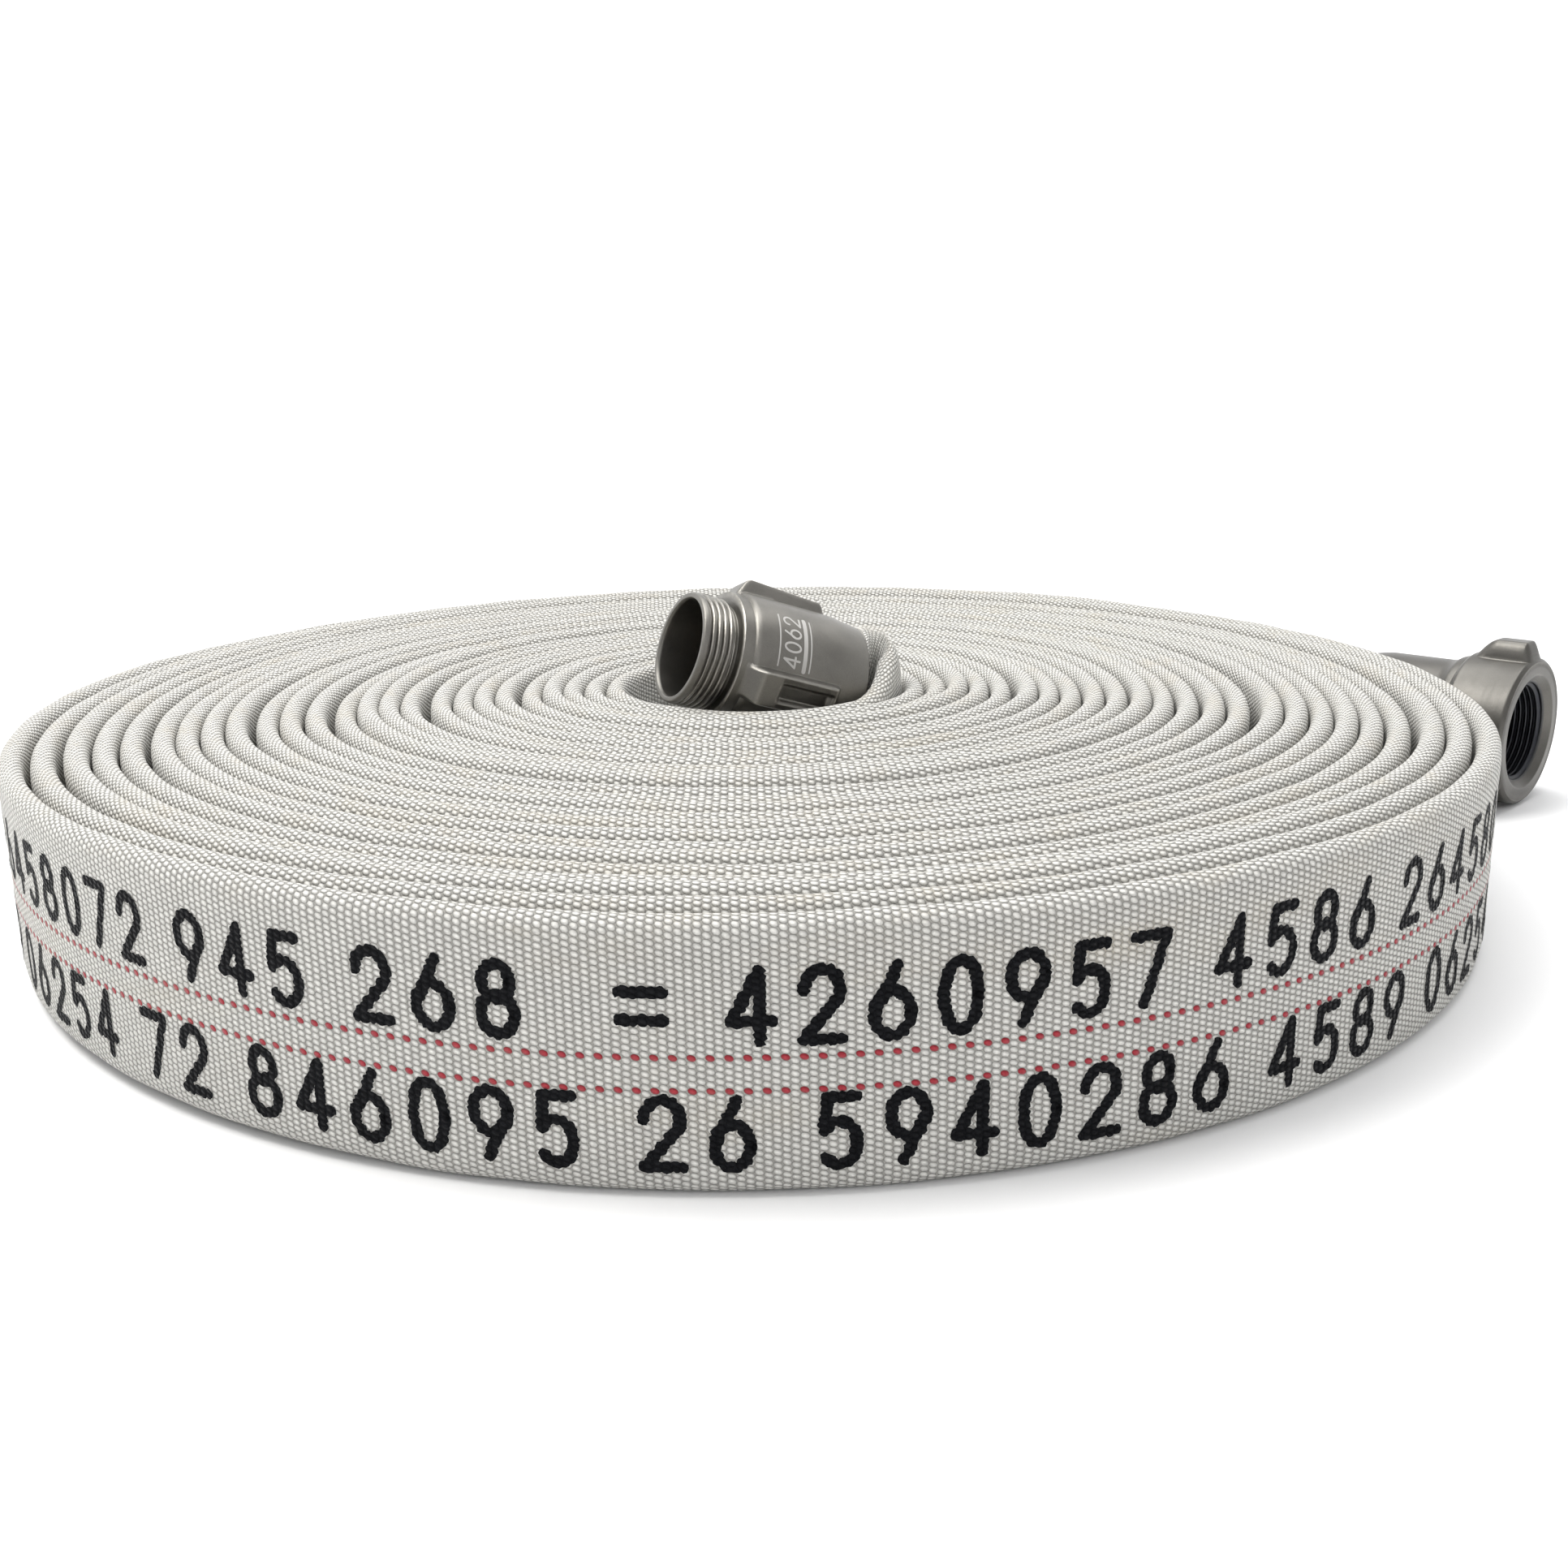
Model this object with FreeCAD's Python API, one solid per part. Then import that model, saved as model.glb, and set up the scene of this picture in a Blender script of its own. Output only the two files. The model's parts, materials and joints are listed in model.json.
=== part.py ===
"""A rolled lay-flat fire hose: 30 m of double-jacket hose in one flat coil, with its two couplings.

Units are millimetres, +Z is up and the coil lies flat on the plane z = 0. The hose starts at the male
coupling inside the coil, runs clockwise (seen from above) and outwards, leaves the coil at the back and
ends in the female coupling, whose threaded swivel turns on its bowl.
"""
import FreeCAD, Part
import math
import os

V = FreeCAD.Vector

# Hose, lying flat: outside size and the walls from outside to inside
flat_width = 82.5
flat_thickness = 9.6
edge_fold_height = 5.0
edge_fold_depth = 3.2
outer_jacket_wall = 1.7
inner_jacket_wall = 1.4
liner_wall = 0.7
layer_gap = 0.25

# Hose, round inside a coupling
round_radius = 27.2
insert_depth = 41.0

# Coil: a spiral of half circles about two centres half a pitch apart
turn_pitch = 10.4
first_turn_radius = 63.4
coil_start_angle = -50.0
whole_half_turns = 49
last_arc_angle = 70.0

# Thread: 1.5 in national hose thread, 9 threads per inch
thread_pitch = 25.4 / 9
thread_depth = 1.833
male_major_radius = 25.27
female_major_radius = 25.43
thread_turns = 5

# Both couplings
waterway_radius = 22.0
bowl_bore_radius = 27.4
bowl_outer_radius = 31.0
serration_depth = 0.6
serration_pitch = 5.5
tail_gasket_length = 4.0
ring_outer_radius = 22.4
ring_wall = 1.2
lug_base_radius = 28.6

# Male coupling: the centre of its mouth and the direction it faces
male_mouth = V(-35.0, -37.5, 106.5)
male_direction = V(-0.867, -0.383, 0.3207)
male_length = 81.0
male_lug_angles = (20.0, 140.0, 260.0)

# Female coupling: the centre of its face and the direction it faces
female_face = V(395.2, 50.7, 38.5)
female_heading = -47.0
female_length = 90.0
swivel_radius = 38.0
female_bowl_radius = 32.0
swivel_length = 32.0
swivel_lug_angles = (0.0, 120.0, 240.0)
nose_radius = 28.0
nose_clearance = 0.05
nose_length = 9.0
gasket_thickness = 2.8
ball_radius = 1.5875
race_clearance = 0.04
race_position = 27.5
ball_count = 52
race_plug_radius = 1.6
race_plug_angle = 165.0

hose_end_position = female_length - insert_depth


def unit(vector):
    return V(vector).normalize()


def heading_vector(angle):
    """Unit vector in plan at an angle from +X, in degrees."""
    return V(math.cos(math.radians(angle)), math.sin(math.radians(angle)), 0)


# ---- the hose's own section: from flat to round ----

def half_thickness(share_round):
    return (1 - share_round) * flat_thickness / 2 + share_round * round_radius


def outline_points(share_round, inset, inner_reach):
    """Corners and edge middles of the section, as (outwards, up), inset mm inside the hose's surface.

    On the inside of a tight bend the wall is pressed in, to inner_reach from the section's middle.
    """
    t = flat_thickness / 2 - inset
    w = flat_width / 2 - inset
    fold = t / (flat_thickness / 2)
    side = w - edge_fold_height * fold
    top = t - edge_fold_depth * fold
    flat = [(-t, -side), (-t, side), (-top, w), (top, w), (t, side), (t, -side), (top, -w), (-top, -w)]
    angles = [225, 135, 105, 75, 45, -45, -75, -105]
    middles = [180, 120, 90, 60, 0, -60, -90, -120]
    radius = round_radius - inset
    press = (inner_reach - inset) / (half_thickness(share_round) - inset)

    def blend(point, angle):
        a = math.radians(angle)
        x = (1 - share_round) * point[0] + share_round * radius * math.cos(a)
        y = (1 - share_round) * point[1] + share_round * radius * math.sin(a)
        return (x * press if x < 0 else x), y

    corners = [blend(p, a) for p, a in zip(flat, angles)]
    between = []
    for i in range(len(flat)):
        p, q = flat[i], flat[(i + 1) % len(flat)]
        between.append(blend(((p[0] + q[0]) / 2, (p[1] + q[1]) / 2), middles[i]))
    return corners, between


def section_edges(share_round, inner_reach, inset, centre, outwards, up):
    """The section's eight edges, standing at centre."""
    corners, between = outline_points(share_round, inset, inner_reach)

    def place(point):
        return centre + outwards * point[0] + up * point[1]

    edges = []
    for i in range(len(corners)):
        a, m, b = place(corners[i]), place(between[i]), place(corners[(i + 1) % len(corners)])
        if (a + b).multiply(0.5).distanceToPoint(m) < 0.01:
            edges.append(Part.LineSegment(a, b).toShape())
        else:
            edges.append(Part.Arc(a, m, b).toShape())
    return edges


def section_at(centre, outwards, up, share_round, inner_reach=None):
    """Where and how the hose's section stands."""
    return {
        "share_round": share_round,
        "inner_reach": inner_reach or half_thickness(share_round),
        "centre": centre,
        "outwards": outwards,
        "up": up,
    }


def end_face(section, inset, inner_inset):
    outer = Part.Face(Part.Wire(section_edges(inset=inset, **section)))
    inner = Part.Face(Part.Wire(section_edges(inset=inner_inset, **section)))
    return outer.cut(inner).Faces


def closed_solid(faces):
    shell = Part.makeShell(faces)
    shell.sewShape()
    solid = Part.Solid(shell)
    if solid.Volume < 0:
        solid.reverse()
    return solid


def swept_stretch(sections, inset, inner_inset):
    """One layer of the hose between a list of sections, joined by ruled faces."""
    faces = []
    for depth in (inset, inner_inset):
        rings = [section_edges(inset=depth, **s) for s in sections]
        for ring, following in zip(rings, rings[1:]):
            for edge, partner in zip(ring, following):
                faces.append(Part.makeRuledSurface(edge, partner))
    faces += end_face(sections[0], inset, inner_inset)
    faces += end_face(sections[-1], inset, inner_inset)
    return closed_solid(faces)


# ---- the coil ----

def coil_arcs():
    """(centre, radius, start angle, angle turned) of each arc of the spiral, inside to outside."""
    across = heading_vector(coil_start_angle) * (turn_pitch / 4)
    arcs = []
    for k in range(whole_half_turns + 1):
        even = k % 2 == 0
        centre = across * (-1 if even else 1)
        radius = first_turn_radius + turn_pitch / 4 + k * turn_pitch / 2
        start = coil_start_angle + (0 if even else 180)
        arcs.append((centre, radius, start, 180.0 if k < whole_half_turns else last_arc_angle))
    return arcs


def coil_section(centre, radius, angle):
    """The flat section of the coil at an angle on one arc."""
    outwards = heading_vector(angle)
    middle = centre + outwards * radius + V(0, 0, flat_width / 2)
    return section_at(middle, outwards, V(0, 0, 1), 0.0)


def coil_layer(inset, inner_inset):
    """One layer of the hose over the whole coil."""
    arcs = coil_arcs()
    faces = []
    for centre, radius, start, turned in arcs:
        section = coil_section(centre, radius, start)
        for depth in (inset, inner_inset):
            ring = Part.Wire(section_edges(inset=depth, **section))
            faces += ring.revolve(centre, V(0, 0, -1), turned).Faces
    faces += end_face(coil_section(*arcs[0][:3]), inset, inner_inset)
    centre, radius, start, turned = arcs[-1]
    faces += end_face(coil_section(centre, radius, start - turned), inset, inner_inset)
    return closed_solid(faces)


# ---- the two stretches between the coil and the couplings ----

def bezier(points, t):
    """Point, direction and radius of the bend in plan on a cubic curve."""
    a, b, c, d = points
    s = 1 - t
    point = a * s**3 + b * (3 * s * s * t) + c * (3 * s * t * t) + d * t**3
    slope = (b - a) * (3 * s * s) + (c - b) * (6 * s * t) + (d - c) * (3 * t * t)
    change = (c - b * 2 + a) * (6 * s) + (d - c * 2 + b) * (6 * t)
    turning = abs(slope.x * change.y - slope.y * change.x)
    return point, slope, math.hypot(slope.x, slope.y) ** 3 / max(turning, 1e-6)


def smooth(t):
    t = min(max(t, 0.0), 1.0)
    return t * t * (3 - 2 * t)


def male_frame():
    forward = unit(male_direction)
    up = unit(V(0, 0, 1) - forward * forward.z)
    return forward, up


def female_frame():
    return heading_vector(female_heading), V(0, 0, 1)


inner_end_stations = (0.0, 0.1, 0.2, 0.3, 0.4, 0.5, 0.6, 0.7, 0.85, 1.0)
inner_end_leave = 34.0
inner_end_arrive = 30.0
inner_end_flat_from = 0.6
fold_share = 0.6
outer_end_stations = (0.0, 0.06, 0.12, 0.18, 0.24, 0.3, 0.36, 0.43, 0.5, 0.62, 0.74, 0.87, 1.0)
outer_end_leave = 110.0
outer_end_arrive = 45.0


def inner_end_sections():
    """From the bottom of the male bowl, out of its mouth, round a tight turn and down into the coil."""
    forward, up = male_frame()
    tail = male_mouth - forward * male_length
    centre, radius, start, _ = coil_arcs()[0]
    coil = centre + heading_vector(start) * radius + V(0, 0, flat_width / 2)
    route = (
        tail,
        tail - forward * inner_end_leave,
        coil - heading_vector(start - 90) * inner_end_arrive,
        coil,
    )
    sections = [round_section(tail + forward * insert_depth, forward * -1, up)]
    dip = -forward.z / math.hypot(forward.x, forward.y)
    for t in inner_end_stations:
        point, slope, bend_radius = bezier(route, t)
        share_round = 1 - smooth(t / inner_end_flat_from)
        reach = min(half_thickness(share_round), bend_radius * fold_share)
        along = V(slope.x, slope.y, 0).normalize() + V(0, 0, dip * (1 - t))
        sections.append(blended_section(point, along, share_round, reach))
    return sections


def outer_end_sections():
    """From the coil's last arc into the bottom of the female bowl."""
    forward, up = female_frame()
    tail = female_face - forward * female_length
    centre, radius, start, turned = coil_arcs()[-1]
    coil = centre + heading_vector(start - turned) * radius + V(0, 0, flat_width / 2)
    route = (
        coil,
        coil + heading_vector(start - turned - 90) * outer_end_leave,
        tail - forward * outer_end_arrive,
        tail,
    )
    sections = []
    for t in outer_end_stations:
        point, slope, _ = bezier(route, t)
        share_round = smooth((t - 0.1) / 0.9)
        point.z = coil.z + (tail.z - coil.z) * share_round
        slope.z = 0
        sections.append(blended_section(point, slope, share_round))
    sections.append(round_section(tail + forward * insert_depth, forward, up))
    return sections


def blended_section(point, slope, share_round, inner_reach=None):
    along = unit(slope)
    outwards = unit(V(0, 0, 1).cross(along))
    return section_at(point, outwards, along.cross(outwards), share_round, inner_reach)


def round_section(point, along, up):
    return section_at(point, unit(up.cross(along)), up, 1.0)


def hose_layers():
    """Each layer's name with its outer and inner inset from the hose's surface."""
    inset = 0.0
    layers = {}
    for name, wall in (
        ("outer_jacket", outer_jacket_wall),
        ("inner_jacket", inner_jacket_wall),
        ("liner", liner_wall),
    ):
        layers[name] = (inset, inset + wall)
        inset += wall + layer_gap
    return layers


def hose():
    parts = {}
    for name, walls in hose_layers().items():
        parts[name + "_roll"] = coil_layer(*walls)
        parts[name + "_inner_end"] = swept_stretch(inner_end_sections(), *walls)
        parts[name + "_outer_end"] = swept_stretch(outer_end_sections(), *walls)
    return parts


# ---- couplings: turned about X, with the mouth at x = 0 facing +X ----

def turned(profile):
    """A ring turned from its half section, given as (distance behind the mouth, radius)."""
    points = [V(-a, 0, r) for a, r in profile]
    face = Part.Face(Part.makePolygon(points + points[:1]))
    return face.revolve(V(0, 0, 0), V(1, 0, 0), 360)


def tube(start, end, outer, inner):
    return turned([(start, inner), (start, outer), (end, outer), (end, inner)])


def thread_points(start, root, crest):
    """Half section of the thread's ridges, as (distance, radius)."""
    points = []
    for i in range(thread_turns):
        a = start + i * thread_pitch
        points += [(a, root), (a + thread_pitch * 3 / 8, crest)]
        points += [(a + thread_pitch / 2, crest), (a + thread_pitch * 7 / 8, root)]
    return points


def serration_points(start, end):
    """Half section of the gripping grooves in a bowl's bore, from its bottom to its mouth."""
    points = []
    for i in range(int((end - start) / serration_pitch)):
        a = start + i * serration_pitch
        points += [(a, bowl_bore_radius), (a + 1, bowl_bore_radius + serration_depth)]
        points += [(a + 2, bowl_bore_radius)]
    return points


def race_points(radius, depth_sign):
    """Half section of the ball race, half an octagon, cut outwards (1) or inwards (-1) at a radius."""
    half = ball_radius + race_clearance
    flat = half * math.tan(math.radians(22.5))
    return [
        (race_position - half, radius),
        (race_position - half, nose_radius + depth_sign * flat),
        (race_position - flat, nose_radius + depth_sign * half),
        (race_position + flat, nose_radius + depth_sign * half),
        (race_position + half, nose_radius + depth_sign * flat),
        (race_position + half, radius),
    ]


def turned_about(shape, angle):
    """The shape turned about the coupling's axis, an angle from the top towards its -Y side."""
    shape = shape.copy()
    shape.rotate(V(0, 0, 0), V(1, 0, 0), angle)
    return shape


def lug(start, end, top_radius, base_radius, top_width, waist_width, front_ramp, rear_ramp):
    """One rocker lug: a waisted bar along the axis with sloping ends."""
    half_top, half_waist = top_width / 2, waist_width / 2
    shoulder = top_radius - (top_radius - base_radius) * 0.35
    across = [
        V(-end, -half_waist, base_radius),
        V(-end, -half_waist, base_radius + 1),
        V(-end, -half_top, shoulder),
        V(-end, -half_top + 2, top_radius),
        V(-end, half_top - 2, top_radius),
        V(-end, half_top, shoulder),
        V(-end, half_waist, base_radius + 1),
        V(-end, half_waist, base_radius),
    ]
    bar = Part.Face(Part.makePolygon(across + across[:1])).extrude(V(end - start, 0, 0))
    along = [
        V(-start, -top_width, base_radius - 1),
        V(-start, -top_width, base_radius + 1),
        V(-start - front_ramp, -top_width, top_radius + 0.1),
        V(-end + rear_ramp, -top_width, top_radius + 0.1),
        V(-end, -top_width, base_radius + 1),
        V(-end, -top_width, base_radius - 1),
    ]
    envelope = Part.Face(Part.makePolygon(along + along[:1])).extrude(V(0, 2 * top_width, 0))
    return bar.common(envelope)


def with_lugs(body, bar, angles):
    return body.multiFuse([turned_about(bar, angle) for angle in angles]).removeSplitter()


def male_coupling():
    shoulder = 17.5
    bore_start = male_length - insert_depth - tail_gasket_length
    root = male_major_radius - thread_depth
    outside = [(0.0, root - 0.8), (0.8, root)]
    outside += thread_points(1.2, root, male_major_radius)
    outside += [(shoulder - 2.5, root - 0.5), (shoulder, root - 0.5)]
    outside += [(shoulder, 27.2), (shoulder + 1, 28.0), (shoulder + 3.5, 28.0), (shoulder + 4.2, 27.2)]
    outside += [(shoulder + 5, 29.8), (shoulder + 6.2, bowl_outer_radius)]
    outside += [(male_length - 14, bowl_outer_radius), (male_length, bowl_outer_radius - 1.6)]
    inside = [(male_length, bowl_bore_radius + 0.8), (male_length - 1.5, bowl_bore_radius)]
    inside += serration_points(bore_start + 7, male_length - 4)[::-1]
    inside += [(bore_start, bowl_bore_radius), (bore_start, waterway_radius)]
    inside += [(1.2, waterway_radius), (0.0, waterway_radius + 0.7)]
    bar = lug(20.5, 68.0, 37.0, lug_base_radius, 21.0, 15.0, 9.0, 2.5)
    return with_lugs(turned(outside + inside), bar, male_lug_angles)


def female_bowl():
    front = swivel_length - nose_length
    collar = swivel_length + 0.3
    bore_start = hose_end_position - tail_gasket_length
    outside = [(front, nose_radius - 0.5), (front + 0.5, nose_radius)]
    outside += race_points(nose_radius, -1)
    outside += [(collar, nose_radius), (collar, 34.2), (collar + 0.8, 35.0), (collar + 4, 35.0)]
    outside += [(collar + 9, female_bowl_radius)]
    outside += [(female_length - 12, female_bowl_radius), (female_length, female_bowl_radius - 2.6)]
    inside = [(female_length, bowl_bore_radius + 0.8), (female_length - 1.5, bowl_bore_radius)]
    inside += serration_points(bore_start + 7, female_length - 4)[::-1]
    inside += [(bore_start, bowl_bore_radius), (bore_start, waterway_radius)]
    inside += [(front, waterway_radius)]
    return turned(outside + inside)


def race_plug_hole():
    """The drilled way from the swivel's outside into the ball race."""
    length = swivel_radius + 2 - nose_radius
    hole = Part.makeCylinder(race_plug_radius, length, V(-race_position, 0, nose_radius), V(0, 0, 1))
    return turned_about(hole, race_plug_angle)


def female_swivel():
    minor = female_major_radius - thread_depth
    nose_bore = nose_radius + nose_clearance
    seat = swivel_length - nose_length - gasket_thickness - 0.2
    step = swivel_length - nose_length - 0.1
    outside = [(0.0, swivel_radius - 1.8), (0.6, swivel_radius - 0.7), (1.8, swivel_radius)]
    outside += [(swivel_length - 2, swivel_radius), (swivel_length, swivel_radius - 1.4)]
    inside = [(swivel_length, nose_bore)] + race_points(nose_bore, 1)[::-1] + [(step, nose_bore)]
    inside += [(step, 26.8), (seat, 26.8), (seat, female_major_radius)]
    inside += [(seat - 1.0, female_major_radius)]
    inside += thread_points(4.2, female_major_radius, minor)[::-1]
    inside += [(3.6, female_major_radius), (3.0, 26.4), (0.0, 29.5)]
    body = turned(outside + inside)
    bar = lug(1.2, 29.5, 46.5, 35.0, 24.0, 19.0, 2.5, 8.0)
    return with_lugs(body, bar, swivel_lug_angles).cut(race_plug_hole())


def race_plug():
    """The plug that closes the hole through which the balls are fed, with a hexagon socket."""
    inner_end = nose_radius + ball_radius + race_clearance
    length = swivel_radius - 0.8 - inner_end
    plug = Part.makeCylinder(race_plug_radius, length, V(-race_position, 0, inner_end), V(0, 0, 1))
    socket = Part.Face(Part.makePolygon([
        V(-race_position + 0.9 * math.cos(math.radians(60 * i)),
          0.9 * math.sin(math.radians(60 * i)), inner_end + length - 2.0)
        for i in range(7)
    ]))
    return turned_about(plug.cut(socket.extrude(V(0, 0, 3))), race_plug_angle)


def retaining_balls():
    balls = []
    for i in range(ball_count):
        angle = math.radians(360 * i / ball_count)
        centre = V(-race_position, nose_radius * math.sin(angle), nose_radius * math.cos(angle))
        balls.append(Part.makeSphere(ball_radius, centre))
    return Part.makeCompound(balls)


def expansion_ring(start, end):
    inner = ring_outer_radius - ring_wall
    return turned([
        (start, inner), (start, ring_outer_radius), (end - 1, ring_outer_radius),
        (end, ring_outer_radius - 0.6), (end, inner + 0.2), (end - 1, inner),
    ])


def placed(shape, position, forward, up):
    """Move a coupling's piece from its own axis to its place on the hose."""
    side = up.cross(forward)
    shape = shape.copy()
    there = FreeCAD.Placement(FreeCAD.Matrix(
        forward.x, side.x, up.x, position.x,
        forward.y, side.y, up.y, position.y,
        forward.z, side.z, up.z, position.z,
        0, 0, 0, 1,
    ))
    shape.Placement = there.multiply(shape.Placement)
    return shape


def couplings():
    male_end = male_length - insert_depth
    male = {
        "male_coupling": male_coupling(),
        "male_expansion_ring": expansion_ring(male_end - tail_gasket_length, male_length - 3),
        "male_tail_gasket": tube(male_end - tail_gasket_length, male_end, 27.0, ring_outer_radius),
    }
    female = {
        "female_bowl": female_bowl(),
        "female_expansion_ring": expansion_ring(hose_end_position - tail_gasket_length, female_length - 3),
        "female_tail_gasket": tube(
            hose_end_position - tail_gasket_length, hose_end_position, 27.0, ring_outer_radius),
        "female_swivel": female_swivel(),
        "swivel_gasket": tube(
            swivel_length - nose_length - gasket_thickness - 0.2,
            swivel_length - nose_length - 0.2, 26.7, 22.6),
        "swivel_retaining_balls": retaining_balls(),
        "ball_race_plug": race_plug(),
    }
    parts = {name: placed(s, male_mouth, *male_frame()) for name, s in male.items()}
    parts.update({name: placed(s, female_face, *female_frame()) for name, s in female.items()})
    return parts


def origin_of(shapes):
    """The middle of the bottom of the box that holds every piece."""
    box = Part.makeCompound(list(shapes)).optimalBoundingBox(False, False)
    return V((box.XMin + box.XMax) / 2, (box.YMin + box.YMax) / 2, box.ZMin)


def main():
    os.makedirs("parts", exist_ok=True)
    parts = hose()
    parts.update(couplings())
    origin = origin_of(parts.values())
    for name, shape in parts.items():
        shape = shape.copy()
        shape.translate(origin * -1)
        shape.exportStep("parts/" + name + ".step")
        print(name, shape.ShapeType, len(shape.Solids), shape.isValid(), round(shape.Volume))
    print("origin of the frame in coil coordinates:", origin)
    length = sum(r * math.radians(turned) for _, r, _, turned in coil_arcs()) / 1000
    print("length of hose in the coil, in metres:", round(length, 2))


main()
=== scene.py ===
import bpy
import json
import math
import numpy as np
from mathutils import Matrix, Vector


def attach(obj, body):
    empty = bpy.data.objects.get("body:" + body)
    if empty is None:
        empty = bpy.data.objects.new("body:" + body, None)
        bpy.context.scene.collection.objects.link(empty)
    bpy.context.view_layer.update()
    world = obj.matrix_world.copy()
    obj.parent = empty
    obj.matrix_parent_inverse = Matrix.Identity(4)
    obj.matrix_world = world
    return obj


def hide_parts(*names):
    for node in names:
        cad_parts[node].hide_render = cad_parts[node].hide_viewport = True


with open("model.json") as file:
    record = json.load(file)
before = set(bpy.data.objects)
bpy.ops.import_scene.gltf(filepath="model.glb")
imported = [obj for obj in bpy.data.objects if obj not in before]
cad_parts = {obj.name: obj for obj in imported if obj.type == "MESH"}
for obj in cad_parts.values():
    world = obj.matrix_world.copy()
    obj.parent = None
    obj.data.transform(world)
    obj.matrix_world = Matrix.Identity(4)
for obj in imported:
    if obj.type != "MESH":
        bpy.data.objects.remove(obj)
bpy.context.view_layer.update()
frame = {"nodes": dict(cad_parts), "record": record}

# Lengths are in metres, except where a name or a comment says mm.
# Points are measured from the foot of the coil's axis, until AXIS moves them into the CAD's frame.
MM = 0.001

# ---- the hose's driving dimensions, as in the part's source ----
FLAT_WIDTH = 0.0825
FLAT_THICKNESS = 0.0096
ROUND_RADIUS = 0.0272
OUTER_WALL = 0.0017
INNER_WALL = 0.0014
LINER_WALL = 0.0007
LAYER_GAP = 0.00025
INSERT_DEPTH = 0.041
TURN_PITCH = 0.0104
FIRST_TURN_RADIUS = 0.0634
COIL_START_ANGLE = -50.0
WHOLE_HALF_TURNS = 49
LAST_ARC_ANGLE = 70.0
MALE_MOUTH = Vector((-0.035, -0.0375, 0.1065))
MALE_DIRECTION = Vector((-0.867, -0.383, 0.3207)).normalized()
MALE_LENGTH = 0.081
MALE_LUG_ANGLES = (20.0, 140.0, 260.0)
FEMALE_FACE = Vector((0.3952, 0.0507, 0.0385))
FEMALE_HEADING = -47.0
FEMALE_LENGTH = 0.090
SWIVEL_LUG_ANGLES = (0.0, 120.0, 240.0)
THREAD_PITCH = 0.0254 / 9
FEMALE_THREAD_START = 0.0042

# ---- how the woven jacket looks: crowns in columns across the hose, counted from the inner face ----
COLUMN_PITCH = 0.00255
CROWNS_AROUND = 88
AROUND = 0.176
CROWN_PITCH = AROUND / CROWNS_AROUND
FOLD_DEPTH = 0.0066
TRACER_ROWS = (43.0, 48.0)

# The hose's three stretches, as numbers kept with its stations.
INNER_END, COIL, OUTER_END = 0, 1, 2


def heading(degrees):
    a = math.radians(degrees)
    return Vector((math.cos(a), math.sin(a), 0))


def mount(name):
    return next(m for m in frame["record"]["mounts"] if m["name"] == name)


def coil_axis():
    """The coil's axis on the floor, found from the female thread's mount."""
    thread_middle = FEMALE_THREAD_START + THREAD_PITCH * (3 / 8 + 4.5) / 2
    in_coil = FEMALE_FACE - heading(FEMALE_HEADING) * thread_middle
    return Vector(mount("female_thread")["pos_m"]) - in_coil


AXIS = coil_axis()


def smooth(t):
    t = np.clip(t, 0.0, 1.0)
    return t * t * (3 - 2 * t)


def wave(s, lengths, seed):
    """A smooth, repeatable wander of about -1 to 1 along s, made of a few sines."""
    rng = np.random.default_rng(seed)
    total = np.zeros_like(np.asarray(s, float))
    for length in lengths:
        total += np.sin(2 * math.pi * s / length + rng.uniform(0, 2 * math.pi))
    return total / len(lengths) ** 0.5 / 1.2


# ---- the line of the hose, as stations along it ----
# share is 0 where the section is flat and 1 where it is round, press squeezes the inner side of a bend,
# lean shifts the two folds sideways against each other, and swell widens the whole section.

def bezier(points, t):
    a, b, c, d = [np.array(p) for p in points]
    t = np.asarray(t)[:, None]
    s = 1 - t
    point = a * s**3 + b * 3 * s * s * t + c * 3 * s * t * t + d * t**3
    slope = (b - a) * 3 * s * s + (c - b) * 6 * s * t + (d - c) * 3 * t * t
    change = (c - b * 2 + a) * 6 * s + (d - c * 2 + b) * 6 * t
    turning = np.abs(slope[:, 0] * change[:, 1] - slope[:, 1] * change[:, 0])
    return point, slope, np.hypot(slope[:, 0], slope[:, 1]) ** 3 / np.maximum(turning, 1e-9)


def coil_line(theta):
    """Centre and outward direction of the coil after theta degrees, inside to outside."""
    k = np.minimum((theta // 180).astype(int), WHOLE_HALF_TURNS)
    side = np.where(k % 2 == 0, -1.0, 1.0) * TURN_PITCH / 4
    radius = FIRST_TURN_RADIUS + TURN_PITCH / 4 + k * TURN_PITCH / 2
    angle = np.radians(COIL_START_ANGLE - theta)
    outwards = np.stack([np.cos(angle), np.sin(angle), np.zeros_like(angle)], 1)
    across = np.array(heading(COIL_START_ANGLE))
    centre = across * side[:, None] + outwards * radius[:, None]
    centre[:, 2] = FLAT_WIDTH / 2
    return centre, outwards, radius


THETA_END = WHOLE_HALF_TURNS * 180 + LAST_ARC_ANGLE

# The last turn and a little more, in degrees: finer, and lying flatter than the rest.
OUTER_TURN = 420

# Openings between turns: (turns from the inside, direction in degrees, half spread, width in mm)
OPENINGS = (
    (23.2, 178, 62, 2.6), (22.1, 196, 55, 2.6), (19.6, 172, 70, 3.6), (15.2, 186, 60, 3.2),
    (12.1, 170, 66, 2.8), (8.3, 190, 70, 3.4), (4.2, 176, 60, 2.6),
    (23.3, 8, 58, 2.6), (20.4, -12, 60, 1.8), (14.6, 4, 72, 5.2), (10.3, 14, 56, 2.6), (5.1, -8, 60, 2.0),
    (21.2, 84, 60, 2.4), (16.4, 96, 60, 3.0), (11.4, 90, 66, 2.6), (6.2, 80, 60, 2.2),
    (17.3, -92, 50, 1.6), (9.6, -86, 50, 1.6),
)


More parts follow.
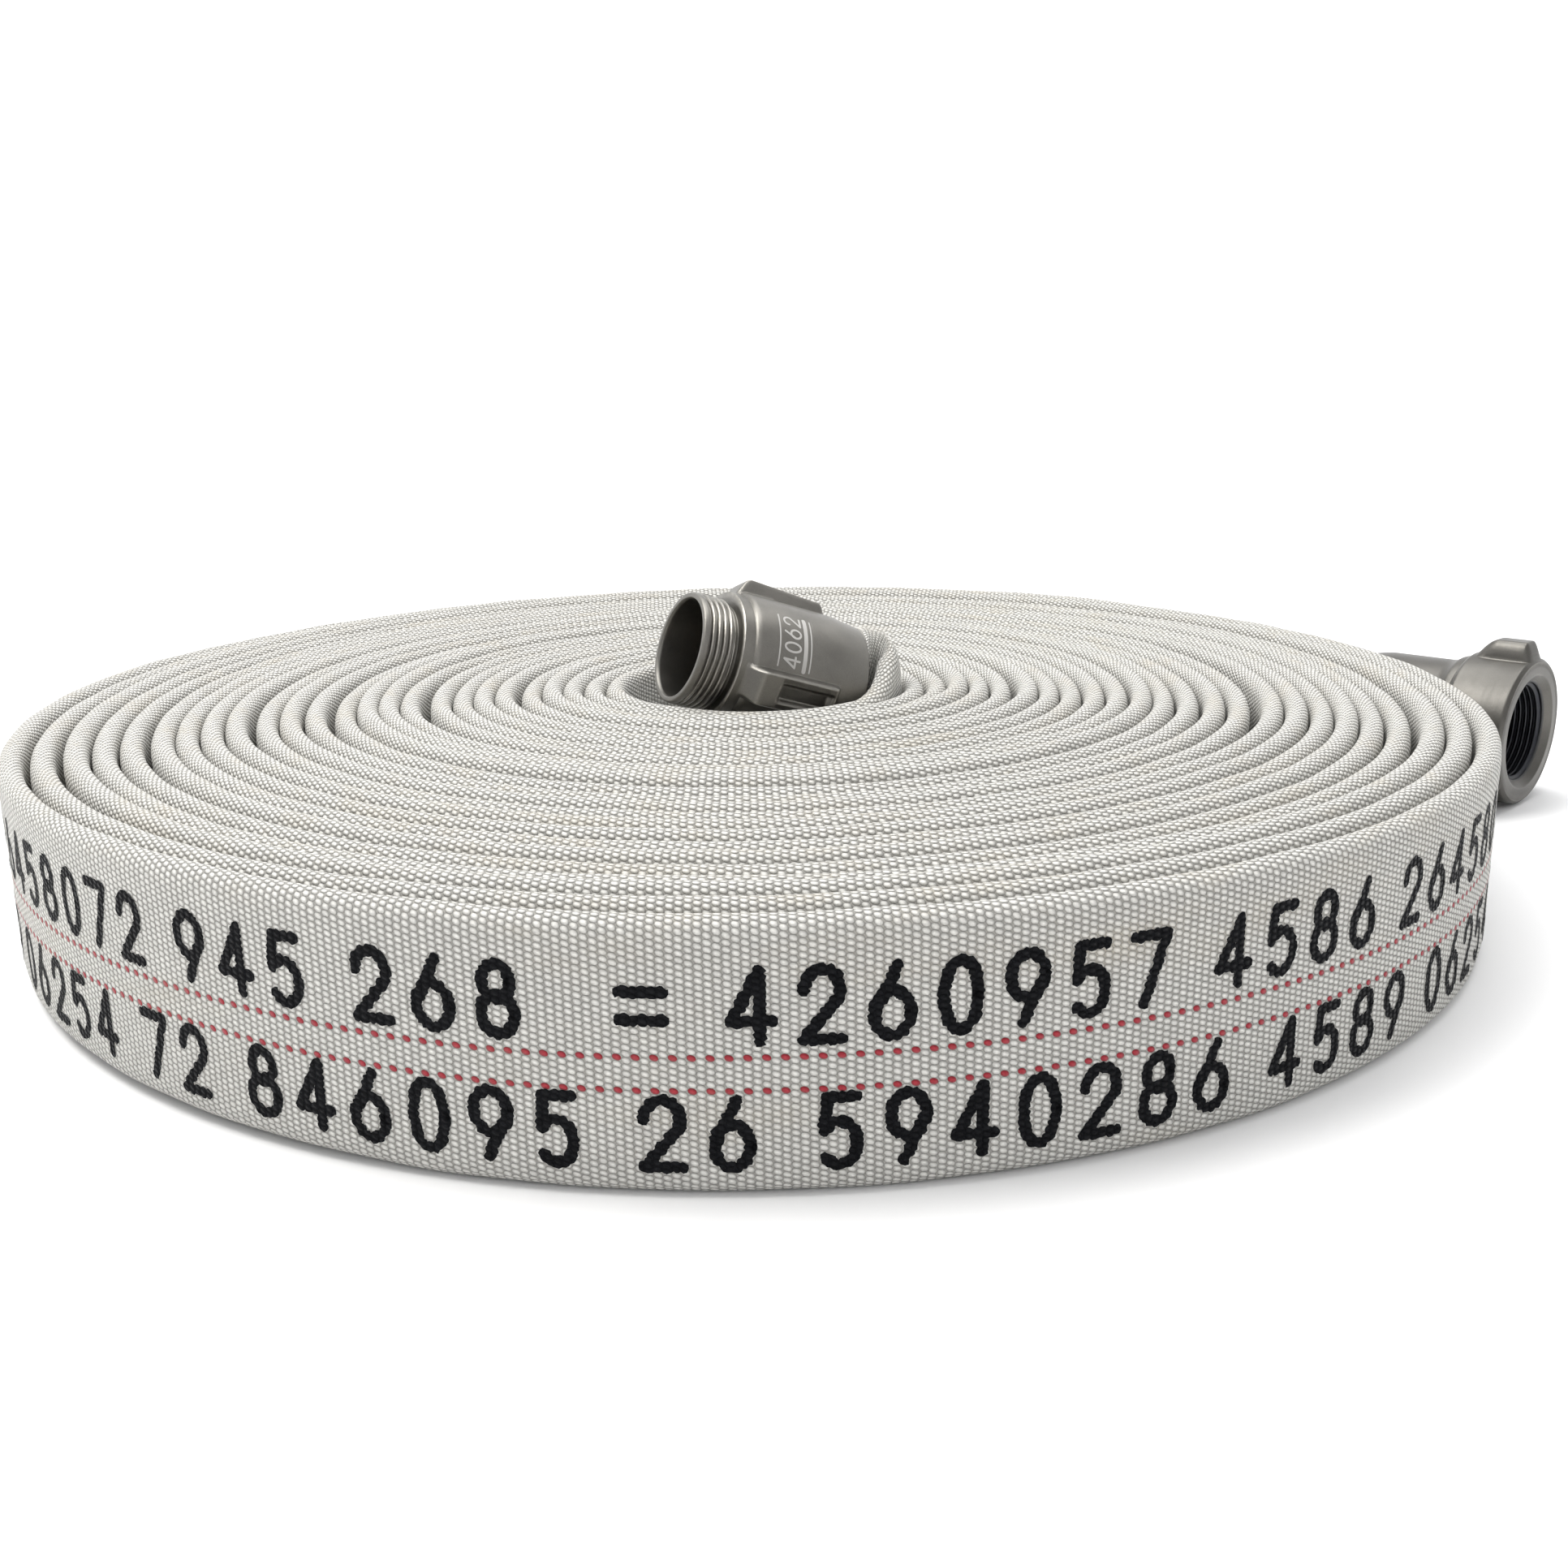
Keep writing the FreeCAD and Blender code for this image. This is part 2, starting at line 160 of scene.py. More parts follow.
def share_of_coil(theta):
    return np.clip(theta / THETA_END, 0, 1)


def radial_shift(theta):
    """How far a turn is pushed outwards by the openings between the turns inside it."""
    direction = COIL_START_ANGLE - theta
    opened = np.zeros_like(theta)
    total = np.zeros_like(theta)
    for turns, towards, spread, width_mm in OPENINGS:
        away = (direction - towards + 180) % 360 - 180
        width = width_mm * MM * smooth(1 - np.abs(away) / spread)
        place = COIL_START_ANGLE - towards
        theta_at = place + 360 * round((turns * 360 - place) / 360)
        opened += width * (theta > theta_at + 180)
        total += width
    return opened - total * share_of_coil(theta)


def lift(theta):
    """How far a turn stands off the floor: up to 3.6 mm, and the outermost turn 2 mm at its left front."""
    turn = theta / 360
    steps = 0.5 + 0.5 * wave(turn, (2.7, 3.9, 6.3), 11)
    rolling = wave(theta, (210, 333, 517), 12)
    height = 2.3 * np.clip(steps, 0, 1) ** 1.5 + 0.45 * rolling + 0.45
    ends = smooth(theta / 200) * smooth((THETA_END - theta) / 300)
    outermost = smooth((theta - (THETA_END - OUTER_TURN)) / 60)
    shift = MM * np.clip(height, 0, 3.6) * ends * (1 - 0.75 * outermost)
    left_front = 1 - np.abs(theta - (THETA_END - 145)) / 62
    return shift + 2.0 * MM * smooth(1.6 * left_front)


def coil_stations():
    theta = [0.0]
    while theta[-1] < THETA_END - 1:
        left = THETA_END - theta[-1]
        radius = FIRST_TURN_RADIUS + TURN_PITCH * theta[-1] / 360
        step = 2 * COLUMN_PITCH if left < OUTER_TURN else min(max(0.062 * radius, 0.004), 0.0094)
        theta.append(min(theta[-1] + math.degrees(step / radius), THETA_END))
    theta = np.array(theta)
    centre, outwards, radius = coil_line(theta)
    centre = centre + outwards * radial_shift(theta)[:, None]
    centre[:, 2] += lift(theta)
    lean = 0.9 * MM * wave(theta, (1500, 2300, 4100), 13) * smooth(theta / 300)
    lean *= smooth((THETA_END - theta) / 500)
    return {
        "centre": centre,
        "outwards": outwards,
        "up": np.tile([0.0, 0.0, 1.0], (len(theta), 1)),
        "share": np.zeros(len(theta)),
        "press": np.ones(len(theta)),
        "lean": lean,
        "swell": np.ones(len(theta)),
    }


def half_thickness(share):
    return (1 - share) * FLAT_THICKNESS / 2 + share * ROUND_RADIUS


def blended(point, along, share, press, swell=None):
    along = along / np.linalg.norm(along, axis=1)[:, None]
    outwards = np.cross([0.0, 0.0, 1.0], along)
    outwards /= np.linalg.norm(outwards, axis=1)[:, None]
    return {
        "centre": point,
        "outwards": outwards,
        "up": np.cross(along, outwards),
        "share": share,
        "press": press,
        "lean": np.zeros(len(share)),
        "swell": np.ones(len(share)) if swell is None else swell,
    }


def joined(*groups):
    return {key: np.concatenate([g[key] for g in groups]) for key in groups[0]}


def straight_stations(start, end, up, count):
    """Round sections along a straight run."""
    t = np.linspace(0, 1, count)[:, None]
    along = (end - start).normalized()
    return {
        "centre": np.array(start) * (1 - t) + np.array(end) * t,
        "outwards": np.tile(np.array(up.cross(along)), (count, 1)),
        "up": np.tile(np.array(up), (count, 1)),
        "share": np.ones(count),
        "press": np.ones(count),
        "lean": np.zeros(count),
        "swell": np.ones(count),
    }


def male_up():
    return (Vector((0, 0, 1)) - MALE_DIRECTION * MALE_DIRECTION.z).normalized()


def inner_end_stations():
    """From inside the male bowl, round the tight turn and down into the coil."""
    tail = MALE_MOUTH - MALE_DIRECTION * MALE_LENGTH
    coil = Vector(coil_line(np.array([0.0]))[0][0])
    route = (
        tail,
        tail - MALE_DIRECTION * 0.034,
        coil - heading(COIL_START_ANGLE - 90) * 0.030,
        coil,
    )
    t = np.linspace(0, 1, 44)
    point, slope, bend = bezier(route, t)
    share = 1 - smooth(t / 0.6)
    press = np.minimum(half_thickness(share), bend * 0.6) / half_thickness(share)
    dip = -MALE_DIRECTION.z / math.hypot(MALE_DIRECTION.x, MALE_DIRECTION.y)
    along = slope.copy()
    along[:, 2] = 0
    along /= np.linalg.norm(along, axis=1)[:, None]
    along[:, 2] = dip * (1 - t)
    inside = straight_stations(tail + MALE_DIRECTION * INSERT_DEPTH, tail, male_up(), 6)
    swell = 1 + 0.11 * smooth((t + 0.004) / 0.05) * smooth((0.42 - t) / 0.26)
    return joined({k: v[:-1] for k, v in inside.items()}, blended(point, along, share, press, swell))


def outer_end_stations():
    """From the coil's last arc into the bottom of the female bowl."""
    forward = heading(FEMALE_HEADING)
    tail = FEMALE_FACE - forward * FEMALE_LENGTH
    coil = Vector(coil_line(np.array([THETA_END]))[0][0])
    leaving = heading(COIL_START_ANGLE - THETA_END - 90)
    route = (coil, coil + leaving * 0.110, tail - forward * 0.045, tail)
    t = np.linspace(0, 1, 56)
    point, slope, _ = bezier(route, t)
    share = smooth((t - 0.1) / 0.9)
    point[:, 2] = coil.z + (tail.z - coil.z) * share
    slope[:, 2] = 0
    inside = straight_stations(tail, tail + forward * INSERT_DEPTH, Vector((0, 0, 1)), 6)
    return joined(blended(point, slope, share, np.ones(len(t))), {k: v[1:] for k, v in inside.items()})


def hose_line():
    """Every station of the hose, with which of its three stretches each is in."""
    inner, coil, outer = inner_end_stations(), coil_stations(), outer_end_stations()
    line = joined({k: v[:-1] for k, v in inner.items()}, coil, {k: v[1:] for k, v in outer.items()})
    line["part"] = np.array([INNER_END] * (len(inner["share"]) - 1) + [COIL] * len(coil["share"])
                            + [OUTER_END] * (len(outer["share"]) - 1))
    steps = np.linalg.norm(np.diff(line["centre"], axis=0), axis=1)
    line["along"] = np.concatenate([[0.0], np.cumsum(steps)])
    line["centre"] = line["centre"] + np.array(AXIS)
    return line


LINE = hose_line()


# ---- the section of the hose ----

def quarter_outline(inset):
    """A quarter of the flat section, from the middle of a side to the crest of the fold, by length."""
    t = FLAT_THICKNESS / 2 - 0.00012 - inset
    w = FLAT_WIDTH / 2 - inset
    fold = FOLD_DEPTH * (t / (FLAT_THICKNESS / 2)) ** 0.7
    flat_y = np.linspace(0, w - fold, 30)
    flat_x = t * (0.965 + 0.035 * smooth((flat_y - (w - fold) * 0.55) / ((w - fold) * 0.4)))
    a = np.linspace(0, math.pi / 2, 80)[1:]
    fold_x = t * np.cos(a) ** (2 / 2.15)
    fold_y = w - fold + fold * np.sin(a) ** (2 / 2.15)
    x, y = np.concatenate([flat_x, fold_x]), np.concatenate([flat_y, fold_y])
    length = np.concatenate([[0.0], np.cumsum(np.hypot(np.diff(x), np.diff(y)))])
    return length / length[-1], x, y


def ring_rows(line, rows, around, inset):
    """Points of the hose's surface, inset inside it, at some stations and shares of the way around."""
    fold = 1 - np.abs((around * 4) % 2 - 1)
    side = np.where((around < 0.25) | (around > 0.75), -1.0, 1.0)
    above = np.where(around < 0.5, 1.0, -1.0)
    share_at, qx, qy = quarter_outline(inset)
    flat_x, flat_y = side * np.interp(fold, share_at, qx), above * np.interp(fold, share_at, qy)
    radius = ROUND_RADIUS - inset
    round_x = side * radius * np.cos(fold * math.pi / 2)
    round_y = above * radius * np.sin(fold * math.pi / 2)
    share = line["share"][rows][:, None]
    x = (1 - share) * flat_x + share * round_x
    y = (1 - share) * flat_y + share * round_y
    along = line["along"][rows]
    flatness = 1 - share
    plump = 1 + 0.012 * wave(along, (0.071, 0.113, 0.19), 5)[:, None] * flatness
    x = x * plump + line["lean"][rows][:, None] * (y / (FLAT_WIDTH / 2)) * flatness
    crest = (np.abs(flat_y) / (FLAT_WIDTH / 2)) ** 6
    y = y + crest * above * 0.00022 * wave(along, (0.043, 0.067, 0.121), 6)[:, None] * flatness
    x = np.where(x < 0, x * line["press"][rows][:, None], x)
    swell = line["swell"][rows][:, None]
    x, y = x * swell, y * swell
    return (line["centre"][rows][:, None, :]
            + line["outwards"][rows][:, None, :] * x[:, :, None]
            + line["up"][rows][:, None, :] * y[:, :, None])


def around_list(top, bottom):
    """Shares of the way around, from quarter-lists of fold positions for the top and bottom folds."""
    top, bottom = np.array(top), np.array(bottom)
    return np.concatenate([top * 0.25, 0.5 - top[-2::-1] * 0.25, 0.5 + bottom[1:] * 0.25,
                           1.0 - bottom[-2:0:-1] * 0.25])


COIL_AROUND = around_list((0, 0.42, 0.78, 0.85, 0.895, 0.93, 0.965, 1.0),
                          (0, 0.42, 0.78, 0.88, 0.95, 1.0))
END_AROUND = np.arange(56) / 56
PLAIN_AROUND = around_list((0, 0.8, 0.93, 1.0), (0, 0.8, 0.93, 1.0))


def strip(faces, a, b, first, second):
    """Faces between two rings of vertex numbers whose points lie at shares a and b of the way around."""
    n, m = len(a), len(b)
    if n == m:
        for i in range(n):
            j = (i + 1) % n
            faces.append((first + i, first + j, second + j, second + i))
        return
    i = j = 0
    while i < n or j < m:
        next_a = a[i + 1] if i + 1 < n else 1.0 + (i >= n)
        next_b = b[j + 1] if j + 1 < m else 1.0 + (j >= m)
        if i < n and (next_a <= next_b or j >= m):
            faces.append((first + i, first + (i + 1) % n, second + j % m))
            i += 1
        else:
            faces.append((first + i % n, second + (j + 1) % m, second + j))
            j += 1


def layer_mesh(name, inset, wall, coil_around, coil_every, pocket):
    """One closed layer of the hose: its outside, and a pocket at each end, as deep as the bore shows."""
    part, along = LINE["part"], LINE["along"]
    coil_rows = np.flatnonzero(part == COIL)
    kept = set(coil_rows[::coil_every]) | {coil_rows[0], coil_rows[-1]}
    outside = [i for i in range(len(part)) if part[i] != COIL or i in kept]
    start_pocket = [i for i in outside if along[i] < pocket]
    end_pocket = [i for i in outside if along[i] > along[-1] - pocket]
    rings = [(i, inset + wall) for i in start_pocket[::-1]]
    rings += [(i, inset) for i in outside]
    rings += [(i, inset + wall) for i in end_pocket[::-1]]
    verts, faces, starts = [], [], []
    for row, depth in rings:
        shares = coil_around if part[row] == COIL else END_AROUND
        starts.append((len(verts), shares, along[row]))
        verts.extend(ring_rows(LINE, np.array([row]), shares, depth)[0].tolist())
    for before, after in zip(starts, starts[1:]):
        strip(faces, before[1], after[1], before[0], after[0])
    first, last = starts[0], starts[-1]
    faces.append(tuple(range(first[0] + len(first[1]) - 1, first[0] - 1, -1)))
    faces.append(tuple(range(last[0], last[0] + len(last[1]))))
    u_of = np.concatenate([np.full(len(a), u) for _, a, u in starts])
    v_of = np.concatenate([np.array(a) * AROUND for _, a, _ in starts])
    return mesh_piece(name, verts, faces, u_of, v_of, wrap=AROUND)


def mesh_piece(name, verts, faces, u_of=None, v_of=None, wrap=None):
    """An object from vertices and faces, with a UV map in metres along and around the piece."""
    mesh = bpy.data.meshes.new(name)
    mesh.from_pydata([tuple(v) for v in verts], [], faces)
    mesh.polygons.foreach_set("use_smooth", [True] * len(mesh.polygons))
    if u_of is not None:
        corner = np.zeros(len(mesh.loops), dtype=np.int32)
        mesh.loops.foreach_get("vertex_index", corner)
        u, v = np.asarray(u_of)[corner], np.asarray(v_of)[corner].copy()
        if wrap:
            starts = np.zeros(len(mesh.polygons), dtype=np.int32)
            sizes = np.zeros(len(mesh.polygons), dtype=np.int32)
            mesh.polygons.foreach_get("loop_start", starts)
            mesh.polygons.foreach_get("loop_total", sizes)
            owner = np.repeat(np.arange(len(starts)), sizes)
            most = np.full(len(starts), -1.0)
            np.maximum.at(most, owner, v)
            v = np.where((most[owner] > 0.75 * wrap) & (v < 0.25 * wrap), v + wrap, v)
        layer = mesh.uv_layers.new(name="Woven")
        layer.data.foreach_set("uv", np.stack([u, v], 1).ravel())
    mesh.validate()
    mesh.update()
    piece = bpy.data.objects.new(name, mesh)
    bpy.context.scene.collection.objects.link(piece)
    return piece


# ---- node helpers ----

class Nodes:
    """Short calls for building a material's node tree."""

    def __init__(self, name):
        self.material = bpy.data.materials.new(name)
        self.material.use_nodes = True
        self.tree = self.material.node_tree
        self.tree.nodes.clear()
        self.shader = self.tree.nodes.new("ShaderNodeBsdfPrincipled")
        output = self.tree.nodes.new("ShaderNodeOutputMaterial")
        self.tree.links.new(self.shader.outputs[0], output.inputs[0])

    def feed(self, socket, value):
        if isinstance(value, bpy.types.NodeSocket):
            self.tree.links.new(value, socket)
        elif isinstance(value, (tuple, list)) and len(value) == 3 and len(socket.default_value) == 4:
            socket.default_value = (*value, 1.0)
        else:
            socket.default_value = value

    def math(self, operation, a, b=None, c=None, clamp=False):
        node = self.tree.nodes.new("ShaderNodeMath")
        node.operation = operation
        node.use_clamp = clamp
        for socket, value in zip(node.inputs, (a, b, c)):
            if value is not None:
                self.feed(socket, value)
        return node.outputs[0]

    def ramp(self, value, low, high, to_low=0.0, to_high=1.0):
        node = self.tree.nodes.new("ShaderNodeMapRange")
        node.interpolation_type = "SMOOTHSTEP"
        for socket, v in zip(node.inputs, (value, low, high, to_low, to_high)):
            self.feed(socket, v)
        return node.outputs[0]

    def mix(self, share, a, b, blend="MIX"):
        node = self.tree.nodes.new("ShaderNodeMix")
        node.data_type = "RGBA"
        node.blend_type = blend
        self.feed(node.inputs[0], share)
        self.feed(node.inputs[6], a)
        self.feed(node.inputs[7], b)
        return node.outputs[2]

    def noise(self, vector, scale, detail=2.0, rough=0.5):
        node = self.tree.nodes.new("ShaderNodeTexNoise")
        self.feed(node.inputs["Vector"], vector)
        node.inputs["Scale"].default_value = scale
        node.inputs["Detail"].default_value = detail
        node.inputs["Roughness"].default_value = rough
        return node.outputs[0]

    def vector(self, x, y, z=0.0):
        node = self.tree.nodes.new("ShaderNodeCombineXYZ")
        for socket, value in zip(node.inputs, (x, y, z)):
            self.feed(socket, value)
        return node.outputs[0]

    def random(self, x, y):
        node = self.tree.nodes.new("ShaderNodeTexWhiteNoise")
        node.noise_dimensions = "2D"
        self.feed(node.inputs["Vector"], self.vector(x, y))
        return node.outputs[0]

    def place(self):
        return self.tree.nodes.new("ShaderNodeTexCoord").outputs["Object"]

    def attribute(self, name):
        node = self.tree.nodes.new("ShaderNodeAttribute")
        node.attribute_name = name
        return node.outputs["Fac"]

    def woven_place(self):
        uv = self.tree.nodes.new("ShaderNodeUVMap")
        uv.uv_map = "Woven"
        split = self.tree.nodes.new("ShaderNodeSeparateXYZ")
        self.feed(split.inputs[0], uv.outputs[0])
        return split.outputs[0], split.outputs[1]

    def bump(self, height, distance):
        node = self.tree.nodes.new("ShaderNodeBump")
        node.inputs["Strength"].default_value = 1.0
        node.inputs["Distance"].default_value = distance
        self.feed(node.inputs["Height"], height)
        self.feed(self.shader.inputs["Normal"], node.outputs[0])

    def set(self, **values):
        for name, value in values.items():
            self.feed(self.shader.inputs[name.replace("_", " ")], value)
        return self.material


def weave(n, u, v):
    """Columns of rounded crowns, each column half a crown off the next: height and lattice numbers."""
    across = n.math("DIVIDE", u, COLUMN_PITCH)
    column = n.math("FLOOR", across)
    fx = n.math("SUBTRACT", n.math("SUBTRACT", across, column), 0.5)
    odd = n.math("FLOORED_MODULO", column, 2.0)
    down = n.math("ADD", n.math("DIVIDE", v, CROWN_PITCH), n.math("MULTIPLY", odd, 0.5))
    down = n.math("ADD", down, n.math("MULTIPLY", fx, 0.22))
    row = n.math("FLOOR", down)
    fy = n.math("SUBTRACT", n.math("SUBTRACT", down, row), 0.5)
    wide = n.math("POWER", n.math("ABSOLUTE", n.math("MULTIPLY", fx, 1.96)), 2.3)
    tall = n.math("POWER", n.math("ABSOLUTE", n.math("MULTIPLY", fy, 2.0)), 2.0)
    left = n.math("SUBTRACT", 1.0, n.math("ADD", wide, tall), clamp=True)
    height = n.math("POWER", left, 0.8)
    return height, column, row, odd


def jacket_material(name, light, gap_shade, with_tracers):
    n = Nodes(name)
    u, v = n.woven_place()
    height, column, row, odd = weave(n, u, v)
    chance = n.random(column, row)
    yarn = n.noise(n.vector(n.math("MULTIPLY", u, 900.0), n.math("MULTIPLY", v, 9000.0)), 1.0, 2.0)
    tone = n.ramp(chance, 0.0, 1.0, 0.93, 1.03)
    tone = n.math("MULTIPLY", tone, n.ramp(yarn, 0.3, 0.7, 0.93, 1.04))
    tone_colour = n.vector(tone, tone, tone)
    # Painted shade: the gaps between crowns take the darker gap_shade colour, for the shade that falls
    # between them.
    base = n.mix(n.ramp(height, 0.0, 0.6), gap_shade, light)
    base = n.mix(1.0, base, tone_colour, "MULTIPLY")
    if with_tracers:
        even = n.math("LESS_THAN", odd, 0.5)
        is_tracer = None
        for wanted in TRACER_ROWS:
            hit = n.math("COMPARE", row, wanted, 0.25)
            is_tracer = hit if is_tracer is None else n.math("MAXIMUM", is_tracer, hit)
        share = n.math("MULTIPLY", n.math("MULTIPLY", is_tracer, even), n.ramp(height, 0.0, 0.22))
        base = n.mix(share, base, (0.38, 0.014, 0.028))
    broad = n.noise(n.vector(n.math("MULTIPLY", u, 9.0), n.math("MULTIPLY", v, 26.0)), 1.0, 4.0, 0.6)
    soiling = n.ramp(broad, 0.52, 0.78, 0.0, 0.22)
    base = n.mix(soiling, base, (0.56, 0.47, 0.32))
    from_fold = n.math("ABSOLUTE", n.math("SUBTRACT", v, AROUND / 4))
    on_fold = n.ramp(from_fold, 0.013, 0.001)
    patch = n.noise(n.vector(n.math("MULTIPLY", u, 31.0), n.math("MULTIPLY", v, 60.0), 3.0), 1.0, 3.0, 0.6)
    worn = n.math("MULTIPLY", on_fold, n.ramp(patch, 0.48, 0.78, 0.0, 0.34))
    base = n.mix(worn, base, (0.58, 0.51, 0.39))
    rough = n.ramp(height, 0.0, 1.0, 0.80, 0.46)
    raised = n.math("ADD", height, n.math("MULTIPLY", yarn, 0.14))
    n.bump(raised, 0.00125)
    return n.set(Base_Color=base, Roughness=rough, Sheen_Weight=0.12, Sheen_Roughness=0.4,
                 Specular_IOR_Level=0.45)


def ink_material():
    n = Nodes("printed_ink")
    u, v = n.woven_place()
    height, column, row, _ = weave(n, u, v)
    chance = n.random(column, row)
    base = n.mix(n.ramp(chance, 0.0, 1.0, 0.0, 1.0), (0.0022, 0.0026, 0.0036), (0.0055, 0.006, 0.0075))
    n.bump(height, 0.0010)
    return n.set(Base_Color=base, Roughness=n.ramp(height, 0.0, 1.0, 0.8, 0.45), Specular_IOR_Level=0.10)


def liner_material():
    n = Nodes("liner_rubber")
    place = n.place()
    mottled = n.noise(place, 420.0, 3.0)
    base = n.mix(mottled, (0.018, 0.018, 0.021), (0.036, 0.036, 0.040))
    n.bump(mottled, 0.0002)
    return n.set(Base_Color=base, Roughness=n.ramp(mottled, 0.3, 0.7, 0.42, 0.6))


def metal_material(name, low, high, edge, roughness):
    """Turned and anodised metal: faint rings, speckle, edges worn brighter, and painted shade that darkens
    the threaded bore.
    """
    n = Nodes(name)
    axial = n.attribute("axial")
    wear = n.attribute("wear")
    place = n.place()
    speckle = n.noise(place, 2600.0, 3.0, 0.6)
    cloud = n.noise(place, 45.0, 4.0, 0.55)
    rings = n.noise(n.vector(n.math("MULTIPLY", axial, 5200.0), 0.0), 1.0, 2.0, 0.7)
    tone = n.math("ADD", n.math("MULTIPLY", cloud, 0.6), n.math("MULTIPLY", speckle, 0.4))
    base = n.mix(n.ramp(tone, 0.35, 0.65), low, high)
    scuff = n.math("MULTIPLY", wear, n.ramp(n.noise(place, 500.0, 3.0, 0.6), 0.25, 0.75, 0.35, 0.85))
    base = n.mix(scuff, base, edge)
    # Painted shade: where the bore attribute is set, the colour goes towards a dark navy, for the shade
    # inside the bore.
    base = n.mix(n.attribute("bore"), base, (0.024, 0.027, 0.035))
    rough = n.math("ADD", n.ramp(rings, 0.3, 0.7, roughness - 0.05, roughness + 0.06),
                   n.math("MULTIPLY", speckle, 0.06))
    n.bump(n.math("ADD", rings, n.math("MULTIPLY", speckle, 0.8)), 0.00006)
    return n.set(Base_Color=base, Roughness=rough, Metallic=1.0)


def plain_metal(name, low, high, roughness, scale):
    n = Nodes(name)
    place = n.place()
    cloud = n.noise(place, scale, 4.0, 0.6)
    fine = n.noise(place, scale * 14, 2.0)
    base = n.mix(n.ramp(cloud, 0.35, 0.65), low, high)
    n.bump(fine, 0.00003)
    rough = n.ramp(fine, 0.3, 0.7, roughness, roughness + 0.12)
    return n.set(Base_Color=base, Roughness=rough, Metallic=1.0)


def rubber_material(name):
    n = Nodes(name)
    fine = n.noise(n.place(), 1500.0, 3.0)
    base = n.mix(fine, (0.012, 0.012, 0.013), (0.03, 0.03, 0.032))
    n.bump(fine, 0.00008)
    return n.set(Base_Color=base, Roughness=n.ramp(fine, 0.3, 0.7, 0.5, 0.68))


def floor_material():
    """Pale and even, with a glow that grows towards the wall behind the object and keeps it white."""
    n = Nodes("studio_floor")
    place = n.place()
    cloud = n.noise(place, 1.3, 3.0)
    split = n.tree.nodes.new("ShaderNodeSeparateXYZ")
    n.feed(split.inputs[0], place)
    base = n.mix(cloud, (0.90, 0.90, 0.90), (0.92, 0.92, 0.92))
    glow = n.ramp(split.outputs[1], 0.8, 5.0, 0.0, 0.55)
    return n.set(Base_Color=base, Roughness=0.75, Specular_IOR_Level=0.2,
                 Emission_Color=(1.0, 1.0, 1.0), Emission_Strength=glow)


def wear_material(piece, material):
    piece.data.materials.clear()
    piece.data.materials.append(material)


# ---- couplings: turned pieces, as rings of points (distance behind the mouth, radius), all in mm ----

# How strongly the inside of a bore is darkened with painted shade.
BORE_PAINTED_SHADE = 0.86
LUG_FILLET = 0.5


def rounded(loop):
    """A closed half section of (distance, radius, fillet), with its corners rounded, as points."""
    points = []
    for i, (a, r, fillet) in enumerate(loop):
        here = Vector((a, r))
        back = Vector(loop[i - 1][:2]) - here
        ahead = Vector(loop[(i + 1) % len(loop)][:2]) - here
        reach = min(fillet, back.length * 0.48, ahead.length * 0.48)
        if reach < 0.02:
            points.append(here)
            continue
        first, last = here + back.normalized() * reach, here + ahead.normalized() * reach
        for k in range(5):
            t = k / 4
            points.append(first * (1 - t) ** 2 + here * 2 * t * (1 - t) + last * t * t)
    return points


def resampled(points, longest):
    """The same closed line, with no step longer than longest(distance, radius)."""
    out = []
    for i, p in enumerate(points):
        q = points[(i + 1) % len(points)]
        middle = (p + q) / 2
        count = max(1, math.ceil((q - p).length / longest(middle.x, middle.y)))
        out += [p.lerp(q, k / count) for k in range(count)]
    return out


def lug_field(a, angle, lug):
    """Radius of a lug's surface at a distance behind the mouth and an angle from its middle."""
    rise = smooth((a - lug["start"]) / lug["front"]) * smooth((lug["end"] - a) / lug["rear"])
    if "round" in lug:
        rise = rise ** lug["round"]
    along = np.clip((a - lug["start"]) / (lug["end"] - lug["start"]), 0, 1)
    top = lug["top"] - lug.get("fall", 0.0) * along
    y = top * np.tan(np.clip(angle, -1.2, 1.2))
    half = lug["width"] / 2
    edge = smooth((half + lug["flank"] / 2 - np.abs(y)) / lug["flank"])
    if "round" in lug:
        edge = edge ** lug["round"]
    flat_top = top / np.cos(np.clip(angle, -1.2, 1.2))
    height = lug["base"] + (flat_top - lug["base"]) * edge * rise
    if "pocket" in lug:
        in_length = smooth((a - lug["pocket_start"]) / 2.0) * smooth((lug["pocket_end"] - a) / 2.0)
        in_width = smooth((lug["pocket_width"] / 2 + 0.8 - np.abs(y)) / 1.6)
        height = height - lug["pocket"] * in_length * in_width
    return height


